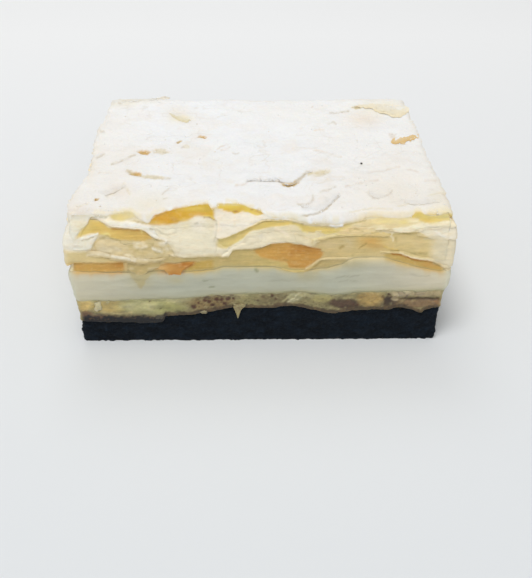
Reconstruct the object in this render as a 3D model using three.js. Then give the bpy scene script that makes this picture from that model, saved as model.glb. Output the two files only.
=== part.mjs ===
// A rectangular slice of custard pastry: a dark cocoa base, a custard layer, a
// thick layer of white cream and a lid of flaky puff pastry with a sugared top.
// Millimetres, +Z up. The slice stands on z = 0, its long side along X and the
// cut front face towards -Y.  The origin is the middle of its footprint.
import * as THREE from 'three';

// ---- driving dimensions (mm) -------------------------------------------------
const LENGTH = 118.0;        // cut length of the slice, along X
const DEPTH = 97.0;          // from the front cut to the back cut, along Y
const BASE_TOP = 11.3;       // mean height of the top of the cocoa base
const BASE_TILT = 2.7;       // the base is thinner at the left, thicker at the right
const CUSTARD_TOP = 18.3;    // mean height of the top of the custard
const CUSTARD_TILT = 1.6;
const CREAM_TOP = 28.4;      // mean height of the top of the cream
const CREAM_HUMP = 3.9;      // the cream swells up into the pastry right of the middle
const LID_TOP = 47.4;        // mean height of the sugared top
const LIP_RISE = 0.4;        // the top leaf lifts at the front, left of the middle
const LIP_SAG = 0.9;         // and sags over the edge right of the middle
const EDGE_ROLL = 2.6;       // the top rolls over and back at the front cut
const LEAF_OVERHANG = 1.3;   // how far the pastry leaves stand out past the cut
const FRONT_OVERHANG = 0.5;  // the front cut is cleaner
const LEAF_STEP = 0.8;       // leaves stand in and out by this much in turn
const CREAM_BULGE = 0.7;     // the cream swells out between the firmer layers
const CORNER = 1.6;          // the cut corners are rounded by this much
const GAP = 0.3;             // parting between two layers

const NX = 24;               // segments along a long side
const NY = 20;               // segments along a short side
const RINGS = [1.0, 0.7, 0.34];   // rings of the inner faces, as shares of the outline

// ---- smooth, repeatable unevenness ------------------------------------------
const hash = (n, seed) => {
  const v = Math.sin(n * 127.1 + seed * 311.7) * 43758.5453;
  return (v - Math.floor(v)) * 2 - 1;
};
const noise1 = (d, seed) => {                       // value noise along a line, -1..1
  const i = Math.floor(d), f = d - i, w = f * f * (3 - 2 * f);
  return hash(i, seed) * (1 - w) + hash(i + 1, seed) * w;
};
const noise2 = (x, y, seed) => {                    // value noise on a plane, -1..1
  const i = Math.floor(x), j = Math.floor(y);
  const u = x - i, v = y - j, a = u * u * (3 - 2 * u), b = v * v * (3 - 2 * v);
  const h = (p, q) => hash(p + 57 * q, seed);
  return (h(i, j) * (1 - a) + h(i + 1, j) * a) * (1 - b)
       + (h(i, j + 1) * (1 - a) + h(i + 1, j + 1) * a) * b;
};
const bell = (d, w) => Math.exp(-(d / w) * (d / w));

// ---- heights of the faces between the layers, over the footprint ------------
const baseTop = (x, y) => BASE_TOP + BASE_TILT * Math.tanh((x + 24) / 16)
  + 0.35 * noise2(x / 9, y / 9, 3);
const custardTop = (x, y) => CUSTARD_TOP + CUSTARD_TILT * Math.tanh((x + 10) / 25)
  + 0.3 * noise2(x / 11, y / 11, 5);
const creamTop = (x, y) => CREAM_TOP - 0.5
  + CREAM_HUMP * bell(x - 29, 14) * (0.45 + 0.55 * bell(y + DEPTH / 2, 30))
  + 0.8 * noise2(x / 14, y / 14, 7);
const front = (y, w) => bell(y + DEPTH / 2, w);
const HX = LENGTH / 2, HY = DEPTH / 2;
const lidTop = (x, y) => LID_TOP
  + LIP_RISE * bell(x + 14, 15) * front(y, 9)
  - LIP_SAG * bell(x - 20, 12) * front(y, 7)
  + 1.3 * bell(x - 45, 14) * bell(y - 43, 6)        // curled leaf at the back, right
  + 0.9 * bell(x + 46, 16) * bell(y - 45, 5)        // raised leaf at the back, left
  - 1.1 * (y < -HY + 3 ? 1 : 0)                     // the rolled front edge
  + 0.55 * noise2(x / 13, y / 10, 11) + 0.25 * noise2(x / 6, y / 6, 12);

// ---- outline ----------------------------------------------------------------
// Points run counter-clockwise seen from above, from the front left corner.
const outline = [];
const side = (n, x0, y0, x1, y1, nx, ny) => {
  for (let i = 0; i < n; i++) {
    const t = i / n;
    const corner = i === 0;
    outline.push({
      x: x0 + (x1 - x0) * t, y: y0 + (y1 - y0) * t, nx, ny, corner,
      front: ny < 0,
    });
  }
};
side(NX, -HX, -HY, HX, -HY, 0, -1);
side(NY, HX, -HY, HX, HY, 1, 0);
side(NX, HX, HY, -HX, HY, 0, 1);
side(NY, -HX, HY, -HX, -HY, -1, 0);
let run = 0;
outline.forEach((p, i) => {
  p.roll = p.y < -HY + 0.1 ? 1 : 0;                   // on the front cut, its two corners too
  if (i) run += Math.hypot(p.x - outline[i - 1].x, p.y - outline[i - 1].y);
  p.d = run;
  if (p.corner) {                                    // a corner leans in along its diagonal
    const sx = Math.sign(p.x), sy = Math.sign(p.y);
    p.x -= sx * CORNER * 0.3; p.y -= sy * CORNER * 0.3;
    p.nx = sx * 0.7; p.ny = sy * 0.7;
  }
});
const N = outline.length;
const at = (p, off) => [p.x + p.nx * off, p.y + p.ny * off];

// how far each parting line stands out of the cut outline
const partOff = [
  (p) => -0.9 + 0.3 * noise1(p.d / 7, 21),           // foot of the base
  (p) => -0.2 + 0.35 * noise1(p.d / 6, 22),          // base and custard
  (p) => 0.0 + 0.25 * noise1(p.d / 9, 23),           // custard and cream
  (p) => 0.3 + 0.3 * noise1(p.d / 8, 24),            // cream and pastry
  (p) => -0.3 - EDGE_ROLL * p.roll + 0.6 * noise1(p.d / 6, 25),   // rim of the sugared top
];

// ---- one layer as a closed body ----------------------------------------------
// low and high give the heights of its two faces, offLow and offHigh their
// outlines, and levels the wall between: [share of the height, outward offset].
function layer({ low, high, offLow, offHigh, levels, grid }) {
  const pos = [], tri = [];
  const add = (x, y, z) => { pos.push(x, y, z); return pos.length / 3 - 1; };
  const quad = (a, b, c, d) => tri.push(a, b, c, a, c, d);
  const flip = (a, b, c, d) => tri.push(a, c, b, a, d, c);   // same split, other way up

  // wall, from the lower rim to the upper rim
  const rows = [];
  const all = [[0, offLow], ...levels, [1, offHigh]];
  for (const [v, off] of all) {
    rows.push(outline.map((p) => {
      const [lx, ly] = at(p, offLow(p)), [hx, hy] = at(p, offHigh(p));
      const z0 = low(lx, ly), z1 = high(hx, hy);
      const [x, y] = at(p, off(p, v));
      return add(x, y, z0 + (z1 - z0) * v);
    }));
  }
  for (let r = 0; r + 1 < rows.length; r++) {
    for (let i = 0; i < N; i++) {
      const j = (i + 1) % N;
      quad(rows[r][i], rows[r][j], rows[r + 1][j], rows[r + 1][i]);
    }
  }

  // face made of rings that shrink towards the middle
  const rings = (rim, off, height, up) => {
    let prev = rim;
    for (const k of RINGS.slice(1)) {
      const ring = outline.map((p) => {
        const [x, y] = at(p, off(p));
        return add(x * k, y * k, height(x * k, y * k));
      });
      for (let i = 0; i < N; i++) {
        const j = (i + 1) % N;
        if (up) quad(prev[i], prev[j], ring[j], ring[i]);
        else flip(prev[i], prev[j], ring[j], ring[i]);
      }
      prev = ring;
    }
    const mid = add(0, 0, height(0, 0));
    for (let i = 0; i < N; i++) {
      const j = (i + 1) % N;
      if (up) tri.push(prev[i], prev[j], mid);
      else tri.push(prev[j], prev[i], mid);
    }
  };

  // face made of a grid that follows every fold, for the top
  const sheet = (rim, height) => {
    const id = [];
    for (let j = 0; j <= NY; j++) {
      id.push([]);
      for (let i = 0; i <= NX; i++) {
        let v;
        if (j === 0) v = rim[i];
        else if (i === NX) v = rim[NX + j];
        else if (j === NY) v = rim[NX + NY + (NX - i)];
        else if (i === 0) v = rim[(2 * NX + NY + (NY - j)) % N];
        else {
          const x = -HX + (LENGTH * i) / NX, y = -HY + (DEPTH * j) / NY;
          v = add(x, y, height(x, y));
        }
        id[j].push(v);
      }
    }
    for (let j = 0; j < NY; j++) {
      for (let i = 0; i < NX; i++) {
        quad(id[j][i], id[j][i + 1], id[j + 1][i + 1], id[j + 1][i]);
      }
    }
  };

  rings(rows[0], offLow, low, false);
  if (grid) sheet(rows[rows.length - 1], high);
  else rings(rows[rows.length - 1], offHigh, high, true);

  const g = new THREE.BufferGeometry();
  g.setAttribute('position', new THREE.Float32BufferAttribute(pos, 3));
  g.setIndex(tri);
  g.computeVertexNormals();
  return g;
}

// ---- walls --------------------------------------------------------------------
const baseWall = [0.3, 0.65].map((v, k) => [v,
  (p) => -0.45 + 0.55 * noise1(p.d / 5 + 3 * k, 31 + k)]);
const custardWall = [0.35, 0.7].map((v, k) => [v,
  (p) => 0.15 + 0.45 * noise1(p.d / 6 + 5 * k, 41 + k)]);
const creamWall = [0.25, 0.55, 0.85].map((v, k) => [v,
  (p) => CREAM_BULGE * Math.sin(Math.PI * (0.15 + 0.7 * v)) + 0.2 * noise1(p.d / 9, 51 + k)]);
// pastry leaves: ledges that stand out and gaps that fall back in turn, and a
// pair of open pockets at the front where the leaves have blistered apart
const pocket = (p, v) => (p.front
  ? 1.7 * bell(p.x + 10, 16) * bell(v - 0.87, 0.08)
  + 1.7 * bell(p.x - 9, 13) * bell(v - 0.3, 0.12) : 0);
const lidWall = [0.08, 0.2, 0.32, 0.44, 0.56, 0.68, 0.8, 0.92].map((v, k) => [v,
  (p) => (p.roll ? FRONT_OVERHANG : LEAF_OVERHANG) * Math.sin(Math.PI * Math.min(1, 0.25 + 0.75 * v))
    + LEAF_STEP * (k % 2 ? 1 : -1) * (0.6 + 0.4 * noise1(p.d / 11, 61 + k)) * (p.roll ? 0.7 : 1)
    + 0.5 * noise1(p.d / 5, 71 + k) - pocket(p, v) - (v > 0.9 ? 0.4 * EDGE_ROLL * p.roll : 0)]);

// ---- the four layers ------------------------------------------------------------
const G = GAP / 2;
const layers = [
  ['cocoa_base', 0x1b1d20, 0.95, {
    low: () => 0, high: (x, y) => baseTop(x, y) - G,
    offLow: partOff[0], offHigh: partOff[1], levels: baseWall }],
  ['custard_layer', 0xe0cd92, 0.55, {
    low: (x, y) => baseTop(x, y) + G, high: (x, y) => custardTop(x, y) - G,
    offLow: partOff[1], offHigh: partOff[2], levels: custardWall }],
  ['cream_layer', 0xf3f0e2, 0.5, {
    low: (x, y) => custardTop(x, y) + G, high: (x, y) => creamTop(x, y) - G,
    offLow: partOff[2], offHigh: partOff[3], levels: creamWall }],
  ['pastry_lid', 0xf0e3bd, 0.8, {
    low: (x, y) => creamTop(x, y) + G, high: lidTop,
    offLow: partOff[3], offHigh: partOff[4], levels: lidWall, grid: true }],
];

const slice = new THREE.Group();
slice.name = 'custard_slice';
for (const [name, colour, roughness, shape] of layers) {
  const material = new THREE.MeshStandardMaterial({ color: colour, roughness, metalness: 0 });
  const mesh = new THREE.Mesh(layer(shape), material);
  mesh.name = name;
  slice.add(mesh);
}

// the origin is the middle of the footprint
slice.updateMatrixWorld(true);
const box = new THREE.Box3().setFromObject(slice, true);
slice.position.set(-(box.min.x + box.max.x) / 2, -(box.min.y + box.max.y) / 2, 0);
slice.updateMatrixWorld(true);

export default slice;
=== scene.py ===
import math

import bpy
import numpy as np
from mathutils import Matrix


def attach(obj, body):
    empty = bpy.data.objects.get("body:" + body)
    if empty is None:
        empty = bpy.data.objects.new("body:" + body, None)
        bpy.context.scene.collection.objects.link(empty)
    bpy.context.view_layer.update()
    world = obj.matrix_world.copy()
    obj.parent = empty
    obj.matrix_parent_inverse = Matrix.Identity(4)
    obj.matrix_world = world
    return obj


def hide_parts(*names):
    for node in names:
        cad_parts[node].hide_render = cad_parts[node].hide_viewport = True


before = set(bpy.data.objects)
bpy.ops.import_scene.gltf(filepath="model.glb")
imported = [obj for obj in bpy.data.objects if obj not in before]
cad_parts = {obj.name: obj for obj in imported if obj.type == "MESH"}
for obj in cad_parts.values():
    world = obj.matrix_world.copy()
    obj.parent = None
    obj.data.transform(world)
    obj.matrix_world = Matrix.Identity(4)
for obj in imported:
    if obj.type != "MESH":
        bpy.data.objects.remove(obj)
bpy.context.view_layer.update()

MM = 0.001

# ---------------------------------------------------------------- main sizes (mm)
HX, HY = 59.0, 48.8          # half length and half depth of the cut slice
YF = -HY                     # plane of the front cut
TOP = 47.3                   # sugared top
CORNER = 1.5

# ---------------------------------------------------------------- camera
F_PX, W_PX, H_PX = 775.5, 532, 578
PITCH, YAW, ROLL = math.radians(34.27), math.radians(-1.53), math.radians(0.54)
CAM = np.array([-3.9, -254.2, 160.7])


def camera_axes():
    cp, sp = math.cos(PITCH), math.sin(PITCH)
    cy, sy = math.cos(YAW), math.sin(YAW)
    rz = np.array([[cy, -sy, 0], [sy, cy, 0], [0, 0, 1]])
    right = rz @ np.array([1.0, 0, 0])
    fwd = rz @ np.array([0, cp, -sp])
    up = rz @ np.array([0, sp, cp])
    cr, sr = math.cos(ROLL), math.sin(ROLL)
    return cr * right + sr * up, fwd, -sr * right + cr * up


RIGHT, FWD, UP = camera_axes()


def ray(u, v):
    """Direction through frame point (u, v)."""
    u, v = np.asarray(u, float), np.asarray(v, float)
    return (FWD + ((u - W_PX / 2) / F_PX)[..., None] * RIGHT
            + ((H_PX / 2 - v) / F_PX)[..., None] * UP)


def on_front(u, v, out=0.0):
    """Point on the plane that stands `out` mm in front of the front cut."""
    d = ray(u, v)
    t = (YF - out - CAM[1]) / d[..., 1]
    return CAM + t[..., None] * d


def on_level(u, v, z):
    """Point at height z."""
    d = ray(u, v)
    t = (z - CAM[2]) / d[..., 2]
    return CAM + t[..., None] * d


def to_frame(P):
    d = np.asarray(P, float) - CAM
    zc = d @ FWD
    return W_PX / 2 + F_PX * (d @ RIGHT) / zc, H_PX / 2 - F_PX * (d @ UP) / zc


# ---------------------------------------------------------------- noise
def _hash(ix, iy, iz, seed):
    n = (ix * 73856093) ^ (iy * 19349663) ^ (iz * 83492791) ^ (seed * 26544357)
    n &= 0xFFFFFFFF
    n = ((n ^ (n >> 15)) * 2246822519) & 0xFFFFFFFF
    n = ((n ^ (n >> 13)) * 3266489917) & 0xFFFFFFFF
    n = n ^ (n >> 16)
    return (n & 0xFFFFFF) / float(0xFFFFFF) * 2.0 - 1.0


def vn(x, y=0.0, z=0.0, seed=0):
    """Smooth value noise, -1..1."""
    x, y, z = np.broadcast_arrays(np.asarray(x, float), np.asarray(y, float), np.asarray(z, float))
    ix, iy, iz = (np.floor(a).astype(np.int64) for a in (x, y, z))
    fx, fy, fz = x - ix, y - iy, z - iz
    fx, fy, fz = (a * a * a * (a * (a * 6 - 15) + 10) for a in (fx, fy, fz))
    r = 0.0
    for a in (0, 1):
        wa = fx if a else 1 - fx
        for b in (0, 1):
            wb = fy if b else 1 - fy
            for c in (0, 1):
                wc = fz if c else 1 - fz
                r = r + wa * wb * wc * _hash(ix + a, iy + b, iz + c, seed)
    return r


def fbm(x, y=0.0, z=0.0, seed=0, octaves=3, gain=0.5):
    r, amp, f, tot = 0.0, 1.0, 1.0, 0.0
    for k in range(octaves):
        r = r + amp * vn(np.asarray(x) * f, np.asarray(y) * f, np.asarray(z) * f, seed + 17 * k)
        tot += amp
        amp *= gain
        f *= 2.03
    return r / tot


def sstep(a, b, x):
    t = np.clip((np.asarray(x, float) - a) / (b - a), 0, 1)
    return t * t * (3 - 2 * t)


def bell(d, w):
    return np.exp(-(np.asarray(d, float) / w) ** 2)


def curve(pts):
    """Smooth curve v(u) through points sorted by u (monotone cubic)."""
    p = np.array(sorted(pts), float)
    x, y = p[:, 0], p[:, 1]
    h = np.diff(x)
    s = np.diff(y) / h
    m = np.zeros(len(x))
    m[0], m[-1] = s[0], s[-1]
    for i in range(1, len(x) - 1):
        if s[i - 1] * s[i] > 0:
            w1, w2 = 2 * h[i] + h[i - 1], h[i] + 2 * h[i - 1]
            m[i] = (w1 + w2) / (w1 / s[i - 1] + w2 / s[i])

    def f(u):
        u = np.clip(np.asarray(u, float), x[0], x[-1])
        k = np.clip(np.searchsorted(x, u, side="right") - 1, 0, len(x) - 2)
        t = (u - x[k]) / h[k]
        return ((2 * t ** 3 - 3 * t ** 2 + 1) * y[k] + (t ** 3 - 2 * t ** 2 + t) * h[k] * m[k]
                + (-2 * t ** 3 + 3 * t ** 2) * y[k + 1] + (t ** 3 - t ** 2) * h[k] * m[k + 1])
    return f


def polyline_distance(u, v, pts):
    """Distance from (u, v) to a polyline, and which side (+1 below the line in the frame)."""
    best = np.full(np.shape(u), 1e9)
    side = np.zeros(np.shape(u))
    for (x0, y0), (x1, y1) in zip(pts[:-1], pts[1:]):
        dx, dy = x1 - x0, y1 - y0
        t = np.clip(((u - x0) * dx + (v - y0) * dy) / (dx * dx + dy * dy), 0, 1)
        ex, ey = u - (x0 + t * dx), v - (y0 + t * dy)
        d = np.hypot(ex, ey)
        nearer = d < best
        side = np.where(nearer, np.sign(dx * ey - dy * ex), side)
        best = np.minimum(best, d)
    return best, side


# how far out the left and right cuts stand at each height
LEFT = curve([(0, -59.4), (9, -59.2), (17, -59.8), (21, -60.0), (25.4, -60.6), (28, -60.8), (31.4, -61.4), (36.5, -61.4),
              (41.1, -60.6), (44.5, -59.8), (47.3, -58.9), (50, -58.5)])
RIGHT_X = curve([(0, 58.6), (4, 58.6), (10, 58.7), (17.7, 59.3), (22, 60.0), (28.5, 60.7), (36.9, 61.0), (39.5, 61.0),
                 (44.1, 60.3), (47.5, 59.2), (50, 58.8)])


def wrap(P, r=1.6):
    """Points drawn on the front cut, led round the left and right corners."""
    P = np.array(P, float)
    d = YF - P[..., 1]
    for sign, edge in ((-1, LEFT(P[..., 2])), (1, RIGHT_X(P[..., 2]))):
        s = sign * (P[..., 0] - edge) + r
        a = np.clip(s / r, 0, math.pi / 2)
        x = edge - sign * r + sign * (r + d) * np.sin(a)
        y = YF + r - (r + d) * np.cos(a) + np.maximum(0, s - r * math.pi / 2)
        on = s > 0
        P[..., 0] = np.where(on, x, P[..., 0])
        P[..., 1] = np.where(on, y, P[..., 1])
    return P


# ---------------------------------------------------------------- colour
def lin(r, g, b, k=1.0):
    """A colour given as 0-255 display values, as linear light, over how brightly it is lit."""
    c = np.array([r, g, b], float) / 255.0
    c = np.where(c <= 0.04045, c / 12.92, ((c + 0.055) / 1.055) ** 2.4)
    return np.clip(c / k, 0, 0.985)


def mix(a, b, w):
    w = np.asarray(w, float)
    if w.ndim and np.ndim(w) != np.ndim(a):
        w = w[..., None]
    elif w.ndim and np.shape(w) == np.shape(a)[:-1]:
        w = w[..., None]
    return np.asarray(a) * (1 - w) + np.asarray(b) * w


def paint(base, colour, w):
    """base (..., 3) painted over with one colour where w is 1."""
    w = np.clip(np.asarray(w, float), 0, 1)[..., None]
    return base * (1 - w) + np.asarray(colour) * w


KF, KU = 0.88, 0.93          # how brightly upright and level surfaces are lit
SUGAR = np.array([0.93, 0.925, 0.90])
PALE = lin(226, 217, 192, 0.78)
CREAMY = lin(231, 221, 193, 0.82)
TAN = lin(207, 187, 144, 0.66)
GOLD = lin(213, 178, 88, 0.74)
AMBER = lin(210, 161, 64, 0.74)
ORANGE = lin(190, 146, 79, 0.55)
RUST = lin(176, 120, 60, 0.60)


# ---------------------------------------------------------------- meshes
class Soup:
    """Gathers closed bodies into one mesh."""

    def __init__(self):
        self.v, self.q, self.t, self.tint, self.sugar, self.sharp, self.n = [], [], [], [], [], [], 0

    def add(self, verts, quads=None, tris=None, tint=None, sugar=None, sharp=None):
        verts = np.asarray(verts, float).reshape(-1, 3)
        k = len(verts)
        if sharp is not None:
            self.sharp.append(np.asarray(sharp, np.int64) + self.n)
        self.v.append(verts)
        if quads is not None and len(quads):
            self.q.append(np.asarray(quads, np.int64) + self.n)
        if tris is not None and len(tris):
            self.t.append(np.asarray(tris, np.int64) + self.n)
        tint = np.ones((k, 3)) * 0.8 if tint is None else np.broadcast_to(np.asarray(tint, float), (k, 3))
        self.tint.append(tint)
        self.sugar.append(np.zeros(k) if sugar is None else np.broadcast_to(np.asarray(sugar, float), (k,)))
        self.n += k

    def build(self, name, material, node=None, smooth=True):
        v = np.concatenate(self.v) * MM
        q = np.concatenate(self.q) if self.q else np.zeros((0, 4), np.int64)
        t = np.concatenate(self.t) if self.t else np.zeros((0, 3), np.int64)
        me = bpy.data.meshes.new(name)
        me.vertices.add(len(v))
        me.vertices.foreach_set("co", v.astype(np.float32).ravel())
        loops = np.concatenate([q.ravel(), t.ravel()]).astype(np.int32)
        me.loops.add(len(loops))
        me.loops.foreach_set("vertex_index", loops)
        counts = np.concatenate([np.full(len(q), 4), np.full(len(t), 3)])
        starts = np.concatenate([[0], np.cumsum(counts)[:-1]]).astype(np.int32)
        me.polygons.add(len(counts))
        me.polygons.foreach_set("loop_start", starts)
        me.polygons.foreach_set("use_smooth", np.full(len(counts), smooth))
        me.update(calc_edges=True)
        tint = np.concatenate(self.tint)
        rgba = np.concatenate([np.clip(tint, 0, 1), np.ones((len(tint), 1))], 1).astype(np.float32)
        a = me.color_attributes.new("tint", "FLOAT_COLOR", "POINT")
        a.data.foreach_set("color", rgba.ravel())
        s = me.attributes.new("sugar", "FLOAT", "POINT")
        s.data.foreach_set("value", np.concatenate(self.sugar).astype(np.float32))
        me.validate()
        if self.sharp:                                          # torn rims keep a crisp edge
            ed = np.empty(len(me.edges) * 2, np.int32)
            me.edges.foreach_get("vertices", ed)
            ed = np.sort(ed.reshape(-1, 2).astype(np.int64), 1)
            want = np.sort(np.concatenate(self.sharp), 1)
            mark = np.isin(ed[:, 0] * len(v) + ed[:, 1], want[:, 0] * len(v) + want[:, 1])
            flag = me.attributes.new("sharp_edge", "BOOLEAN", "EDGE")
            flag.data.foreach_set("value", mark)
        me.materials.append(material)
        ob = bpy.data.objects.new(name, me)
        bpy.context.scene.collection.objects.link(ob)
        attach(ob, "root")
        if node:
            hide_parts(node)
        print(f"{name}: {len(v)} vertices, {2 * len(q) + len(t)} triangles")
        return ob


def grid_quads(nu, nv, closed=False, base=0):
    i = np.arange(nu if closed else nu - 1)
    j = np.arange(nv - 1)
    I, J = np.meshgrid(i, j, indexing="ij")
    K = (I + 1) % nu
    a, b, c, d = I * nv + J, K * nv + J, K * nv + J + 1, I * nv + J + 1
    return np.stack([a, b, c, d], -1).reshape(-1, 4) + base


def normals(P):
    du = np.gradient(P, axis=0)
    dv = np.gradient(P, axis=1)
    n = np.cross(du, dv)
    return n / np.maximum(np.linalg.norm(n, axis=-1, keepdims=True), 1e-9)


def leaf(soup, P, th, tint, sugar=0.0, rim=0.4, back=None):
    """A thin closed leaf around the grid of points P (nu, nv, 3), thinner at its rim."""
    nu, nv = P.shape[:2]
    n = normals(P)
    a = np.minimum(np.arange(nu), np.arange(nu)[::-1])[:, None]
    b = np.minimum(np.arange(nv), np.arange(nv)[::-1])[None, :]
    e = np.clip(np.minimum(a, b) / 2.0, 0, 1)
    T = (th * (rim + (1 - rim) * e))[..., None]
    A, B = P + n * T / 2, P - n * T / 2
    m = nu * nv
    q = grid_quads(nu, nv)
    idx = np.arange(m).reshape(nu, nv)
    rims = []

    sharp = []

    def strip(p, r):
        rims.append(np.stack([r, p, p + m, r + m], -1))
        sharp.append(np.stack([p, r], -1))
        sharp.append(np.stack([p + m, r + m], -1))
    strip(idx[:-1, 0], idx[1:, 0])
    strip(idx[1:, -1], idx[:-1, -1])
    strip(idx[0, 1:], idx[0, :-1])
    strip(idx[-1, :-1], idx[-1, 1:])
    quads = np.concatenate([q, q[:, ::-1] + m] + rims)
    tint = np.broadcast_to(np.asarray(tint, float), (nu, nv, 3)).reshape(-1, 3)
    sg = np.broadcast_to(np.asarray(sugar, float), (nu, nv)).reshape(-1)
    tb = tint if back is None else np.broadcast_to(np.asarray(back, float), (nu, nv, 3)).reshape(-1, 3)
    soup.add(np.concatenate([A.reshape(-1, 3), B.reshape(-1, 3)]), quads,
             tint=np.concatenate([tint, tb]), sugar=np.concatenate([sg, sg * 0.2]), sharp=np.concatenate(sharp))


# ---------------------------------------------------------------- outline of the slice
def bulge(rim, z):
    """How far the cut stands out of the plain outline at height z; nothing on the front cut."""
    z = np.asarray(z, float)
    left, right = -LEFT(z) - HX, RIGHT_X(z) - HX
    yy = rim.y[:, None]
    near = sstep(-18, -42, yy)                                  # the lean seen at the front corners fades backwards
    left = left * (0.15 + 0.85 * near) - 1.5 * bell(yy + 16, 15) * sstep(34, 45, z)
    right = right * (0.4 + 0.6 * near)
    q = np.clip((rim.x + HX) / (2 * HX), 0, 1)[:, None]
    return (left * (1 - q) + right * q) * (1 - rim.front[:, None])


class Rim:
    """Columns round the slice, counter-clockwise from above, from the front left corner."""

    def __init__(self, front, side, back, arc=6):
        P, N, S = [], [], []
        r = CORNER
        runs = [((-HX + r, -HY), (HX - r, -HY), (0, -1), front, 0), ((HX, -HY + r), (HX, HY - r), (1, 0), side, 1),
                ((HX - r, HY), (-HX + r, HY), (0, 1), back, 2), ((-HX, HY - r), (-HX, -HY + r), (-1, 0), side, 3)]
        for k, (a, b, n, step, sid) in enumerate(runs):
            a, b = np.array(a, float), np.array(b, float)
            m = int(round(np.linalg.norm(b - a) / step))
            t = np.arange(m + 1) / m
            P.append(a + (b - a) * t[:, None])
            N.append(np.tile(np.array(n, float), (m + 1, 1)))
            S.append(np.full(m + 1, sid))
            nn = runs[(k + 1) % 4][2]
            c = {0: (HX - r, -HY + r), 1: (HX - r, HY - r), 2: (-HX + r, HY - r), 3: (-HX + r, -HY + r)}[k]
            th0 = math.atan2(n[1], n[0])
            ang = th0 + (np.arange(1, arc) / arc) * math.pi / 2
            d = np.stack([np.cos(ang), np.sin(ang)], -1)
            P.append(np.array(c) + r * d)
            N.append(d)
            S.append(np.where(np.arange(1, arc) < arc / 2, sid, (sid + 1) % 4))
        self.P, self.N, self.side = np.concatenate(P), np.concatenate(N), np.concatenate(S)
        self.x, self.y = self.P[:, 0], self.P[:, 1]
        step = np.linalg.norm(np.roll(self.P, -1, 0) - self.P, axis=1)
        self.s = np.concatenate([[0], np.cumsum(step)[:-1]])
        self.length = step.sum()
        self.n = len(self.x)
        self.front = np.clip(-self.N[:, 1], 0, 1) ** 2          # 1 on the front cut, fades round the corners

    def at(self, w, z):
        """Points w mm out of the cut at height z; w and z are (n,) or (n, m)."""
        w, z = np.broadcast_arrays(np.asarray(w, float), np.asarray(z, float))
        if w.ndim == 1:
            w, z = w[:, None], z[:, None]
        X = self.x[:, None] + self.N[:, 0][:, None] * w
        Y = self.y[:, None] + self.N[:, 1][:, None] * w
        return np.stack([X, Y, z], -1)


def around(rim, seed, size, octaves=2):
    """Noise round the rim that closes on itself."""
    k = rim.s / rim.length * 2 * math.pi
    R = rim.length / (2 * math.pi) / size
    return fbm(np.cos(k) * R + 50, np.sin(k) * R + 50, seed * 3.7, seed, octaves)


def level(pts, corners, amp, seed, ripple=0.0):
    """Height of a parting line round the slice. pts: the line on the front cut, in frame points.
    corners: heights at the back right and back left."""
    q = np.array([on_front(u, v) for u, v in pts])
    f = curve([(a, b) for a, b in q[:, [0, 2]]])

    def z(rim, fine=True):
        x, y = rim.x, rim.y
        zf = f(np.clip(x, q[:, 0].min(), q[:, 0].max()))
        zr, zl = float(f(q[:, 0].max())), float(f(q[:, 0].min()))
        t = np.clip((y + HY) / (2 * HY), 0, 1)
        side_r = zr + (corners[0] - zr) * t
        side_l = zl + (corners[1] - zl) * t
        back = corners[1] + (corners[0] - corners[1]) * np.clip((x + HX) / (2 * HX), 0, 1)
        zf = zf + ripple * fbm(x / 2.6, seed, 0, seed + 60, 3)
        z = np.select([rim.side == 0, rim.side == 1, rim.side == 2], [zf, side_r, back], side_l)
        w = 1 - rim.front * (rim.side == 0)
        w = np.where(rim.side == 2, 1.0, np.minimum(w, sstep(0, 8, y + HY)))
        return z + amp * around(rim, seed, 11, 3) * w
    return z


CREAM_TOP_LINE = [(60, 273), (124, 273), (165, 272), (190, 272), (212, 270), (225, 267.5), (260, 267), (275, 267.5),
                  (286, 270), (303, 271.5), (312, 270), (325, 268.5), (340, 265), (352, 260), (362, 258), (380, 258),
                  (390, 260), (400, 263), (416, 267), (430, 270), (442, 271.5), (460, 271)]
CUSTARD_TOP_LINE = [(70, 301), (95, 301), (140, 299.5), (185, 298), (217, 295), (240, 294), (270, 293), (300, 291.5),
                    (335, 295), (360, 292), (400, 291), (445, 290)]
CUSTARD_FOOT_LINE = [(76, 320), (90, 320.5), (125, 321), (150, 321.5), (162, 320.5), (166, 315), (190, 313.5),
                     (200, 312), (214, 309.5), (234, 306.5), (250, 306.5), (270, 307), (285, 305), (300, 306),
                     (318, 309.5), (333, 312), (345, 310.5), (355, 309), (390, 308), (400, 306), (412, 309), (420, 311),
                     (427, 307.5), (442, 306)]
cream_top = level(CREAM_TOP_LINE, (28.5, 27.8), 1.1, 3, 0.25)
custard_top = level(CUSTARD_TOP_LINE, (19.6, 17.4), 0.7, 4, 0.55)
custard_foot = level(CUSTARD_FOOT_LINE, (12.6, 10.0), 0.9, 5, 0.3)


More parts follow.
